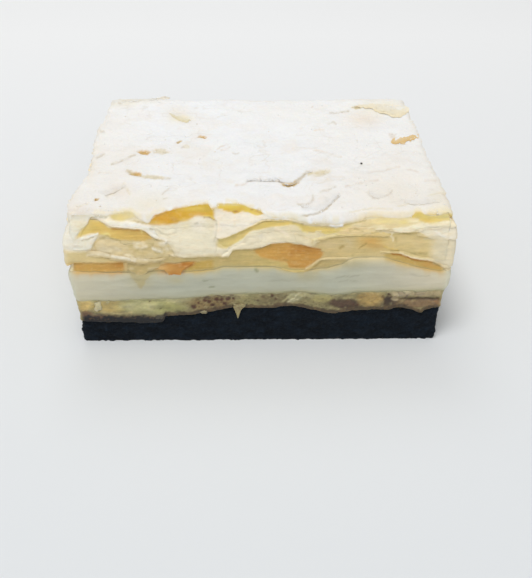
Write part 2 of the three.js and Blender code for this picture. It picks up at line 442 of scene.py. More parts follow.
def solid_wall(soup, rows, tint, sugar=0.0, low=None, high=None, inset=(0.93, 0.7)):
    """Closed body: rows (n, m, 3) from the lower rim to the upper one, closed inside by caps."""
    n, m = rows.shape[:2]
    tint = np.broadcast_to(tint, (n, m, 3)).reshape(-1, 3)
    sg = np.broadcast_to(np.asarray(sugar, float), (n, m)).reshape(-1)
    V, T, S = [rows.reshape(-1, 3)], [tint], [sg]
    Q = [grid_quads(n, m, closed=True)]
    tris = []
    base = n * m
    idx = np.arange(n * m).reshape(n, m)
    for edge, zc, up in ((idx[:, -1], high, True), (idx[:, 0], low, False)):
        ring = V[0][edge]
        zc = float(ring[:, 2].mean()) if zc is None else zc
        prev = edge
        for k in inset:
            r = ring.copy()
            r[:, :2] *= k
            f = (1 - k) / (1 - inset[-1])
            r[:, 2] = ring[:, 2] * (1 - f) + zc * f
            cur = base + np.arange(n)
            V.append(r)
            T.append(T[0][edge])
            S.append(np.zeros(n))
            nx, cx = np.roll(prev, -1), np.roll(cur, -1)
            q = np.stack([prev, nx, cx, cur], -1)
            Q.append(q if up else q[:, ::-1])
            prev = cur
            base += n
        V.append(np.array([[0, 0, zc]]))
        T.append(T[0][edge[:1]])
        S.append(np.zeros(1))
        nx = np.roll(prev, -1)
        tri = np.stack([prev, nx, np.full(n, base)], -1)
        tris.append(tri if up else tri[:, ::-1])
        base += 1
    soup.add(np.concatenate(V), np.concatenate(Q), np.concatenate(tris), np.concatenate(T), np.concatenate(S))


def zone(u, v, up, lo, soft=1.0, ends=2.0):
    """1 between the two frame curves, softly 0 outside. Also how far down between them, 0..1."""
    fu, fl = curve(up), curve(lo)
    u0 = max(min(p[0] for p in up), min(p[0] for p in lo))
    u1 = min(max(p[0] for p in up), max(p[0] for p in lo))
    a, b = fu(u), fl(u)
    w = sstep(-soft, soft, v - a) * sstep(-soft, soft, b - v)
    w = w * sstep(u0 - ends, u0 + ends, u) * sstep(u1 + ends, u1 - ends, u)
    t = np.clip((v - a) / np.maximum(b - a, 0.5), 0, 1)
    return w, t


# ---------------------------------------------------------------- materials
def nodes_of(name):
    m = bpy.data.materials.new(name)
    m.use_nodes = True
    nt = m.node_tree
    nt.nodes.clear()
    out = nt.nodes.new("ShaderNodeOutputMaterial")
    bsdf = nt.nodes.new("ShaderNodeBsdfPrincipled")
    nt.links.new(bsdf.outputs[0], out.inputs[0])
    return m, nt, bsdf


class Build:
    def __init__(self, nt):
        self.nt = nt

    def new(self, kind, **props):
        n = self.nt.nodes.new(kind)
        for k, v in props.items():
            setattr(n, k, v)
        return n

    def link(self, a, b):
        self.nt.links.new(a, b)

    def noise(self, scale, detail=3.0, rough=0.55, vector=None, distortion=0.0):
        n = self.new("ShaderNodeTexNoise")
        n.inputs["Scale"].default_value = scale
        n.inputs["Detail"].default_value = detail
        n.inputs["Roughness"].default_value = rough
        n.inputs["Distortion"].default_value = distortion
        if vector is not None:
            self.link(vector, n.inputs["Vector"])
        return n.outputs["Fac"]

    def ramp(self, fac, a, b, lo=0.0, hi=1.0):
        n = self.new("ShaderNodeMapRange")
        n.inputs["From Min"].default_value = a
        n.inputs["From Max"].default_value = b
        n.inputs["To Min"].default_value = lo
        n.inputs["To Max"].default_value = hi
        self.link(fac, n.inputs["Value"])
        return n.outputs["Result"]

    def math(self, op, a, b):
        n = self.new("ShaderNodeMath", operation=op)
        for k, x in enumerate((a, b)):
            if isinstance(x, (int, float)):
                n.inputs[k].default_value = x
            else:
                self.link(x, n.inputs[k])
        return n.outputs[0]

    def mixc(self, fac, a, b, blend="MIX"):
        n = self.new("ShaderNodeMix", data_type="RGBA", blend_type=blend)
        n.clamp_factor = True
        for sock, x in ((n.inputs[0], fac), (n.inputs[6], a), (n.inputs[7], b)):
            if isinstance(x, (int, float)):
                sock.default_value = x
            elif isinstance(x, (tuple, list, np.ndarray)):
                sock.default_value = (*[float(c) for c in x][:3], 1.0)
            else:
                self.link(x, sock)
        return n.outputs[2]

    def coords(self, scale=(1, 1, 1)):
        tc = self.new("ShaderNodeTexCoord")
        mp = self.new("ShaderNodeMapping")
        mp.inputs["Scale"].default_value = scale
        self.link(tc.outputs["Object"], mp.inputs["Vector"])
        return mp.outputs["Vector"]

    def attr(self, name):
        n = self.new("ShaderNodeAttribute", attribute_name=name)
        return n

    def bump(self, height, distance, strength=1.0, normal=None):
        n = self.new("ShaderNodeBump")
        n.inputs["Strength"].default_value = strength
        n.inputs["Distance"].default_value = distance
        self.link(height, n.inputs["Height"])
        if normal is not None:
            self.link(normal, n.inputs["Normal"])
        return n.outputs["Normal"]


def pastry_material(name, layered=1.0, gloss=0.5, sss=0.6, grain=0.5):
    """Leaves of baked dough: colour from tint, fine fibres along the leaf, sugar where the sugar attribute says."""
    m, nt, bsdf = nodes_of(name)
    b = Build(nt)
    tint = b.attr("tint").outputs["Color"]
    sugar = b.attr("sugar").outputs["Fac"]
    flat = b.coords((1, 1, 3.5))
    v1 = b.noise(160, 4, 0.6, flat)
    v2 = b.noise(700, 3, 0.6, flat)
    v3 = b.noise(2600, 2, 0.6, b.coords())
    shade = b.ramp(v1, 0.3, 0.7, 0.90, 1.06)
    col = b.mixc(1.0, tint, shade, "MULTIPLY")
    brown = b.ramp(b.math("MULTIPLY", v2, v1), 0.27, 0.42, 0.0, 0.30 * grain)
    col = b.mixc(brown, col, lin(196, 152, 92, 0.8))
    speck = b.ramp(v3, 0.44, 0.66, 0.0, 1.0)
    dust = b.math("MULTIPLY", sugar, 1.7)
    dust = b.math("SUBTRACT", dust, b.math("MULTIPLY", speck, 0.75))
    dust = b.ramp(dust, 0.0, 0.55, 0.0, 1.0)
    col = b.mixc(dust, col, SUGAR)
    b.link(col, bsdf.inputs["Base Color"])
    rough = b.ramp(dust, 0.0, 1.0, gloss, 0.92)
    b.link(rough, bsdf.inputs["Roughness"])
    bsdf.inputs["Specular IOR Level"].default_value = 0.2
    bsdf.inputs["Subsurface Weight"].default_value = sss
    bsdf.inputs["Subsurface Radius"].default_value = (1.0, 0.82, 0.60)
    bsdf.inputs["Subsurface Scale"].default_value = 0.0022
    n1 = b.bump(v1, 0.0006, 0.35 * layered)
    n2 = b.bump(v2, 0.00020, 0.45, n1)
    n3 = b.bump(v3, 0.00008, 0.5, n2)
    b.link(n3, bsdf.inputs["Normal"])
    return m


def crust_material():
    """The dusted top: colour from tint, rougher where the sugar lies thick."""
    m, nt, bsdf = nodes_of("sugared_crust")
    b = Build(nt)
    tint = b.attr("tint").outputs["Color"]
    sugar = b.attr("sugar").outputs["Fac"]
    soft = b.noise(130, 4, 0.6, b.coords((1, 1, 1)))
    fine = b.noise(1100, 3, 0.6, b.coords())
    powder = b.noise(3600, 2, 0.6, b.coords())
    col = b.mixc(1.0, tint, b.ramp(soft, 0.3, 0.7, 0.975, 1.012), "MULTIPLY")
    col = b.mixc(1.0, col, b.ramp(fine, 0.32, 0.68, 0.975, 1.012), "MULTIPLY")
    b.link(col, bsdf.inputs["Base Color"])
    b.link(b.ramp(sugar, 0.0, 1.0, 0.6, 0.95), bsdf.inputs["Roughness"])
    bsdf.inputs["Specular IOR Level"].default_value = 0.25
    bsdf.inputs["Subsurface Weight"].default_value = 0.15
    bsdf.inputs["Subsurface Radius"].default_value = (1.0, 0.8, 0.6)
    bsdf.inputs["Subsurface Scale"].default_value = 0.0015
    n1 = b.bump(soft, 0.0008, 0.35)
    n2 = b.bump(fine, 0.00022, 0.5, n1)
    b.link(b.bump(powder, 0.00007, 0.7, n2), bsdf.inputs["Normal"])
    return m


def sugar_material():
    m, nt, bsdf = nodes_of("icing_sugar")
    b = Build(nt)
    v = b.noise(900, 3, 0.6, b.coords())
    col = b.mixc(v, (0.90, 0.89, 0.86), (0.96, 0.955, 0.94))
    b.link(col, bsdf.inputs["Base Color"])
    b.link(b.ramp(v, 0.3, 0.7, 0.85, 0.98), bsdf.inputs["Roughness"])
    b.link(b.bump(b.noise(3000, 2, 0.6, b.coords()), 0.00008, 0.8), bsdf.inputs["Normal"])
    bsdf.inputs["Specular IOR Level"].default_value = 0.2
    return m


def cream_material():
    m, nt, bsdf = nodes_of("white_cream")
    b = Build(nt)
    tint = b.attr("tint").outputs["Color"]
    streak = b.noise(130, 3, 0.5, b.coords((1, 1, 2.6)))
    fine = b.noise(900, 3, 0.6, b.coords((1, 1, 2.5)))
    col = b.mixc(1.0, tint, b.ramp(streak, 0.3, 0.7, 0.955, 1.03), "MULTIPLY")
    b.link(col, bsdf.inputs["Base Color"])
    b.link(b.ramp(fine, 0.3, 0.7, 0.42, 0.62), bsdf.inputs["Roughness"])
    bsdf.inputs["Specular IOR Level"].default_value = 0.4
    bsdf.inputs["Subsurface Weight"].default_value = 0.25
    bsdf.inputs["Subsurface Radius"].default_value = (1.0, 0.8, 0.55)
    bsdf.inputs["Subsurface Scale"].default_value = 0.0025
    n1 = b.bump(streak, 0.0006, 0.35)
    b.link(b.bump(fine, 0.00015, 0.4, n1), bsdf.inputs["Normal"])
    return m


def custard_material():
    m, nt, bsdf = nodes_of("custard")
    b = Build(nt)
    tint = b.attr("tint").outputs["Color"]
    big = b.noise(260, 4, 0.6, b.coords((1, 1, 1.6)))
    fine = b.noise(1400, 3, 0.6, b.coords())
    col = b.mixc(1.0, tint, b.ramp(big, 0.3, 0.7, 0.88, 1.10), "MULTIPLY")
    spots = b.ramp(b.math("MULTIPLY", fine, big), 0.32, 0.42, 0.0, 0.25)
    col = b.mixc(spots, col, lin(110, 84, 52, 0.6))
    b.link(col, bsdf.inputs["Base Color"])
    b.link(b.ramp(fine, 0.3, 0.7, 0.30, 0.55), bsdf.inputs["Roughness"])
    bsdf.inputs["Specular IOR Level"].default_value = 0.45
    bsdf.inputs["Subsurface Weight"].default_value = 0.2
    bsdf.inputs["Subsurface Radius"].default_value = (1.0, 0.7, 0.3)
    bsdf.inputs["Subsurface Scale"].default_value = 0.002
    n1 = b.bump(big, 0.0006, 0.5)
    b.link(b.bump(fine, 0.0002, 0.5, n1), bsdf.inputs["Normal"])
    return m


def cocoa_material():
    m, nt, bsdf = nodes_of("dark_cocoa")
    b = Build(nt)
    tint = b.attr("tint").outputs["Color"]
    big = b.noise(300, 4, 0.65, b.coords((1, 1, 1.6)))
    fine = b.noise(1500, 3, 0.65, b.coords())
    col = b.mixc(1.0, tint, b.ramp(big, 0.3, 0.7, 0.6, 1.5), "MULTIPLY")
    b.link(col, bsdf.inputs["Base Color"])
    b.link(b.ramp(fine, 0.3, 0.7, 0.6, 0.95), bsdf.inputs["Roughness"])
    bsdf.inputs["Specular IOR Level"].default_value = 0.15
    n1 = b.bump(big, 0.0009, 0.7)
    b.link(b.bump(fine, 0.0003, 0.8, n1), bsdf.inputs["Normal"])
    return m


M_LEAF = pastry_material("puff_leaves", sss=0.0)
M_CORE = pastry_material("puff_inside", layered=0.8, gloss=0.5, sss=0.35)
M_CRUST = crust_material()
M_SUGAR = sugar_material()
M_CREAM = cream_material()
M_CUSTARD = custard_material()
M_COCOA = cocoa_material()
rng = np.random.default_rng(20)

# ---------------------------------------------------------------- pastry lid: what the front cut shows
K_HI, K_MID, K_LOW, K_TOP = 0.84, 0.80, 0.78, 1.02


def d8(r, g, b):
    return lin(r, g, b, 1.0)


SHADES = {"snow": (240, 239, 236), "milk": (239, 232, 219), "pale": (230, 221, 198), "bone": (224, 212, 182),
          "butter": (238, 225, 188), "peach": (241, 225, 199), "straw": (226, 209, 140), "sand": (209, 191, 148),
          "tan": (194, 174, 124), "olive": (181, 163, 110), "grey": (200, 191, 165), "gold": (214, 186, 104),
          "yellow": (230, 204, 98), "amber": (212, 160, 58), "orange": (192, 148, 82), "rust": (178, 126, 60),
          "brown": (168, 142, 84), "dust": (240, 237, 231), "linen": (238, 230, 209), "blush": (236, 225, 211), "fawn": (227, 217, 205),
          "haze": (217, 209, 196), "line": (212, 202, 184), "toast": (211, 174, 113), "toffee": (204, 176, 124), "umber": (158, 100, 42)}

# how brightly the front of the lid is lit, by the height in the frame
LIT = curve([(198, 1.06), (206, 1.05), (212, 1.02), (218, 0.95), (224, 0.90), (230, 0.86), (240, 0.83), (255, 0.81), (275, 0.80)])

# upper line, lower line, how far out at each, colour at the left and right end, softness of the two lines
ZONES = [
    # pale sheets
    ([(50, 213), (97, 213)], [(50, 251.5), (72, 251.5), (86, 250.5), (91, 249), (93, 244), (97, 237)], 0.3, 0.0, d8(230, 225, 209), d8(229, 222, 204), 1.5, 1.8),
    ([(144, 224), (160, 224), (176, 222), (190, 218.5), (203, 215), (217, 219)],
     [(144, 230), (150, 235), (156, 237.5), (163, 239), (167, 243), (171, 247), (176, 254), (183, 257.5), (190, 256), (205, 255.8), (217, 255)], 0.0, 0.1, d8(229, 221, 197), d8(226, 218, 192), 1.5, 1.2),
    ([(214, 207), (221, 209), (234, 213), (247, 212), (263, 214.5), (290, 219)], [(214, 240), (224, 238), (238, 232.5), (250, 226.5), (262, 221), (290, 221)], -0.1, 0.0, d8(235, 226, 207), d8(238, 230, 213), 1.5, 1.2),
    ([(214, 246), (224, 249), (236, 243), (247, 234), (257, 230), (272, 227), (288, 224.5), (300, 228), (304, 231.5), (318, 233)],
     [(214, 256), (224, 256), (229, 256), (233, 250), (240, 249), (256, 248.3), (268, 245), (275, 242.5), (290, 242.5), (303, 244.5), (313, 248), (318, 241)], 0.0, 0.1, d8(227, 217, 192), d8(221, 208, 172), 1.2, 1.2),
    ([(336, 226), (345, 224), (362, 221), (380, 217), (413, 216), (426, 223)], [(336, 236), (362, 236), (380, 231), (392, 229.5), (413, 226), (426, 224)], -0.1, 0.0, d8(224, 201, 150), d8(232, 216, 172), 1.5, 1.5),
    ([(376, 228.5), (392, 228.5), (405, 227.5), (416, 224), (428, 222.5), (470, 219)], [(376, 230.3), (392, 230), (402, 232.8), (412, 232.5), (420, 229.5), (470, 238)], 0.1, 0.2, d8(240, 228, 196), d8(238, 227, 200), 1.2, 1.2),
    ([(416, 231), (430, 228), (470, 227.5)], [(416, 235), (434, 238), (470, 238)], 0.0, 0.1, d8(229, 218, 190), d8(231, 222, 203), 1.5, 1.5),
    ([(426, 236), (436, 237), (480, 237)], [(426, 259), (433, 261), (441, 264), (447, 268), (456, 273), (480, 274)], 0.0, 0.1, d8(209, 196, 160), d8(217, 209, 190), 3.5, 1.5, 9.0),
    # tan sheets and the smooth yellowish strip over the cream
    ([(93, 244), (97, 238.5), (106, 236.5), (112, 239), (122, 240.5), (140, 241), (150, 238), (158, 238), (172, 249)], [(93, 262), (122, 262), (150, 262), (172, 262)], -0.25, -0.1, d8(209, 191, 150), d8(197, 179, 130), 1.8, 2),
    ([(50, 250), (88, 252), (105, 256.5), (128, 261)], [(50, 263), (75, 263), (128, 263)], -0.1, 0.0, d8(202, 186, 140), d8(196, 174, 118), 2, 1.5),
    ([(160, 256), (184, 257.5), (222, 256)], [(160, 264), (200, 262), (222, 262)], -0.2, -0.1, d8(192, 172, 122), d8(186, 168, 116), 2, 2),
    ([(206, 257), (229, 256), (233, 250), (250, 249.5), (257, 250), (265, 257), (275, 260.5), (286, 262), (290, 267), (303, 269)],
     [(206, 272), (230, 272), (250, 271), (265, 271), (290, 273), (303, 274)], -0.15, 0.0, d8(185, 166, 113), d8(191, 171, 108), 1.6, 2.5),
    ([(314, 241), (325, 238), (336, 236.5), (400, 233), (418, 232), (430, 238)], [(314, 258), (322, 260), (345, 260), (366, 257), (390, 254), (404, 256), (430, 262)], -0.3, -0.15, d8(195, 175, 125), d8(208, 188, 132), 1.2, 4.0, 8.0),
    ([(306, 269), (312, 266), (317, 262), (322, 260), (352, 259)], [(306, 274), (325, 272), (352, 263)], -0.2, -0.1, d8(186, 162, 105), d8(184, 168, 122), 1.6, 2.5),
    # golden and orange pockets
    ([(67, 263), (76, 262.5), (95, 262.5), (125, 261.5)], [(67, 275), (95, 276), (125, 276)], -0.25, -0.1, d8(196, 160, 88), d8(187, 143, 75), 1.6, 2),
    ([(125, 262), (160, 262)], [(125, 276), (160, 276)], -0.2, -0.1, d8(182, 162, 112), d8(181, 157, 104), 1.5, 2),
    ([(182, 262), (193, 261.5), (213, 260)], [(182, 275), (195, 274), (213, 274)], -0.25, -0.1, d8(186, 156, 83), d8(186, 158, 88), 1.5, 2),
    ([(157, 266), (165, 263), (176, 264), (184, 262.5), (195, 261)], [(157, 270), (163, 271.5), (169, 274), (172, 278), (178, 279), (182, 273), (188, 268), (195, 264)], -0.3, -0.1, d8(188, 142, 80), d8(178, 124, 58), 1.4, 1.4),
    ([(76, 236), (80, 231), (86, 226), (89, 220), (91.5, 216.8), (97, 219.5), (104, 223.5), (108, 227.3), (118, 228.5), (130, 229.3), (141, 230.3), (147, 233), (152, 237.5)],
     [(76, 239), (85, 235), (92, 233.5), (100, 234.5), (108, 236), (112, 238.5), (122, 240), (132, 241), (141, 241), (148, 239.5), (152, 239)], -0.35, -0.15, d8(215, 189, 110), d8(204, 170, 96), 1.2, 1.8),
    ([(95, 217), (106, 216.8), (115, 220.6), (130, 221.3), (140, 223.6), (148, 225), (156, 230)],
     [(95, 218.6), (106, 224.2), (112, 226.2), (125, 227.4), (135, 228.3), (142, 229), (147, 231.6), (152, 235.6), (156, 237)], 0.2, 0.2, d8(239, 230, 210), d8(237, 231, 217), 1.0, 1.0),
    ([(110, 215.5), (121, 213), (130, 211), (138, 209.5)], [(110, 218), (116, 220), (122, 221.5), (128, 219), (138, 216)], -0.2, -0.1, d8(212, 194, 126), d8(230, 214, 166), 1.8, 1.8),
    ([(146, 223), (150, 221), (155, 216.5), (160, 213), (170, 208), (180, 205), (200, 202), (208, 202), (214, 208)],
     [(146, 224), (155, 224.8), (165, 224.8), (176, 223.8), (180, 221.5), (186, 220.8), (191, 218.5), (195, 216.5), (203, 216.3), (210, 217.5), (214, 219)], -0.4, -0.15, d8(199, 146, 36), d8(212, 174, 56), 1.4, 2.0),
    ([(216, 203), (230, 201), (240, 202), (246, 204), (256, 208), (263, 212.5)],
     [(216, 207.5), (221, 209.3), (226, 211.8), (231, 212.3), (235, 214), (238, 213.2), (242, 211.8), (247, 212.2), (252, 213.8), (257, 215), (263, 214.2)], -0.3, -0.15, d8(228, 194, 74), d8(222, 198, 94), 1.2, 1.0),
    ([(217, 239), (224, 238), (230, 235.5), (238, 232.5), (245, 229), (250, 226.5), (256, 223.5), (262, 221.3), (268, 220), (291, 221)],
     [(217, 246), (224, 249.5), (230, 246), (236, 243), (241, 240), (247, 234.5), (251, 231.5), (257, 230), (264, 228.5), (270, 227), (280, 226), (291, 224.5)], -0.5, -0.2, d8(211, 192, 128), d8(218, 192, 110), 1.3, 1.5),
    ([(290, 221), (296, 223), (303, 224.5), (312, 226), (330, 226.8), (338, 227), (350, 223.5), (362, 220.5)],
     [(290, 224.5), (299, 226.5), (304, 231.5), (312, 232), (320, 232.5), (328, 234.5), (335, 233), (350, 227), (362, 222)], -0.4, -0.15, d8(212, 190, 108), d8(218, 198, 132), 1.2, 1.5),
    ([(411, 216), (418, 212), (421, 212.5), (426, 214.8), (432, 215.5), (438, 215.2), (444, 213.8), (452, 212.5), (456, 213)],
     [(411, 217.5), (417, 218.5), (420, 220.8), (426, 222.3), (431, 223), (436, 222.4), (441, 221.3), (450, 220), (456, 218)], 0.15, 0.0, d8(234, 202, 108), d8(228, 208, 138), 1.2, 1.5),
    ([(254, 250), (262, 247.3), (268, 245), (274, 243), (288, 242.6), (295, 243.8), (304, 245), (312, 248), (324, 252)],
     [(254, 252), (262, 257.5), (270, 259.5), (278, 261), (286, 262.5), (290, 267.5), (303, 268.5), (311, 265), (318, 260), (324, 254)], -0.5, -0.2, d8(195, 153, 81), d8(187, 139, 70), 1.0, 2.0),
    ([(384, 254), (395, 253.5), (402, 254.5), (413, 259), (422, 260), (431, 261.5), (442, 264)], [(384, 257), (395, 262.5), (405, 265), (416, 269), (426, 272), (435, 273.5), (442, 272)], -0.3, -0.15, d8(188, 162, 95), d8(191, 156, 86), 1.2, 2.5),
]


SPOTS = [  # browned and paler places: centre, radii, shade, strength
    (372, 241, 13, 6, "gold", 0.5), (371, 241, 11, 5, "orange", 0.7), (376, 247, 10, 3, "orange", 0.45), (348, 243, 6, 6, "grey", 0.25), (330, 244, 10, 4, "peach", 0.12), (404, 240, 12, 5, "sand", 0.35), (418, 243, 6, 7, "sand", 0.5), (418, 238, 5, 3, "tan", 0.6), (79, 267, 5, 3, "orange", 0.6), (119, 265, 5, 3, "rust", 0.7),
    (66, 268, 5, 5, "sand", 0.8), (98, 225, 7, 4, "gold", 0.7), (104, 234, 6, 2, "straw", 0.6), (121, 218, 6, 2.4, "straw", 0.7), (141, 208, 8, 6, "butter", 0.7),
    (100, 219.5, 5, 1.6, "peach", 0.8), (130, 225, 10, 2, "snow", 0.6), (103, 242.5, 7, 3, "sand", 0.6), (138, 251, 12, 5, "tan", 0.7), (149, 247.5, 6, 3, "olive", 0.7),
    (107, 250, 10, 3.5, "bone", 0.7), (122, 257.5, 7, 1.8, "pale", 0.8), (80, 257, 8, 2.5, "tan", 0.6), (64, 257, 3, 7, "bone", 0.7), (83, 229, 6, 5, "straw", 0.4), (80, 214.4, 12, 2.6, "bone", 0.95), (78, 222, 9, 5, "bone", 0.5),
    (163, 219, 8, 3, "amber", 0.8), (175, 219.5, 4, 2.2, "orange", 0.6), (184, 219.5, 6, 1.8, "gold", 0.6), (195, 208.5, 14, 2.2, "yellow", 0.7), (202, 214, 8, 1.6, "amber", 0.6),
    (155, 222.5, 8, 1.6, "gold", 0.7), (228, 210.6, 4, 1.0, "amber", 0.9), (235.5, 211.6, 3.6, 1.4, "rust", 0.95), (241, 209, 4, 1.2, "amber", 0.8), (230, 206, 12, 1.2, "yellow", 0.6),
    (256, 212.5, 5, 1.4, "gold", 0.8), (172, 226, 8, 2.2, "bone", 0.6), (187, 226, 6, 3.5, "butter", 0.6), (199, 224, 7, 7, "milk", 0.7), (211, 226, 5, 4, "bone", 0.8),
    (170, 248.5, 5, 2, "tan", 0.8), (223, 232, 6, 5, "pale", 0.6), (270, 224, 6, 1.8, "gold", 0.8), (283, 223.5, 7, 1.6, "gold", 0.6), (262, 237, 10, 5, "pale", 0.6),
    (282, 238.2, 6, 1.6, "grey", 0.6), (329, 230, 7, 2.2, "gold", 0.6), (310, 229, 7, 2.2, "gold", 0.6), (345, 231, 8, 3, "sand", 0.4), (300, 250, 12, 4, "rust", 0.7),
    (291.5, 253.5, 1.8, 3.5, "rust", 0.7), (285.5, 260, 3, 1.2, "brown", 0.7), (296, 265, 9, 2.5, "orange", 0.6), (173.5, 275, 6, 2.8, "umber", 0.85), (184, 264.6, 8, 2.0, "umber", 0.8), (161, 267.4, 6, 4, "tan", 0.55), (168, 249, 4, 1.8, "pale", 0.75), (174, 255, 4, 1.4, "pale", 0.75), (177.5, 252.4, 3, 1.4, "tan", 0.6), (171.5, 245.6, 2.6, 1.5, "tan", 0.5), (170, 268, 7, 2, "orange", 0.6),
    (356, 225, 8, 2.5, "bone", 0.6), (385, 221, 12, 3, "straw", 0.6), (404, 222, 5, 2.6, "straw", 0.8), (414, 221, 4, 3, "butter", 0.8), (380, 227.5, 5, 2, "butter", 0.7),
    (428, 219.4, 5, 1.6, "gold", 0.8), (434, 223.6, 4, 1.4, "straw", 0.6), (446, 216.5, 4, 1.8, "straw", 0.6), (404, 229.8, 9, 1.6, "peach", 0.6), (442, 224.5, 12, 1.8, "butter", 0.6),
    (436, 252, 5, 3, "bone", 0.6), (452, 248, 6, 10, "bone", 0.6), (430, 264.5, 8, 2.4, "orange", 0.7), (438, 262, 5, 2.2, "grey", 0.7), (361, 262, 8, 3, "olive", 0.6),
]

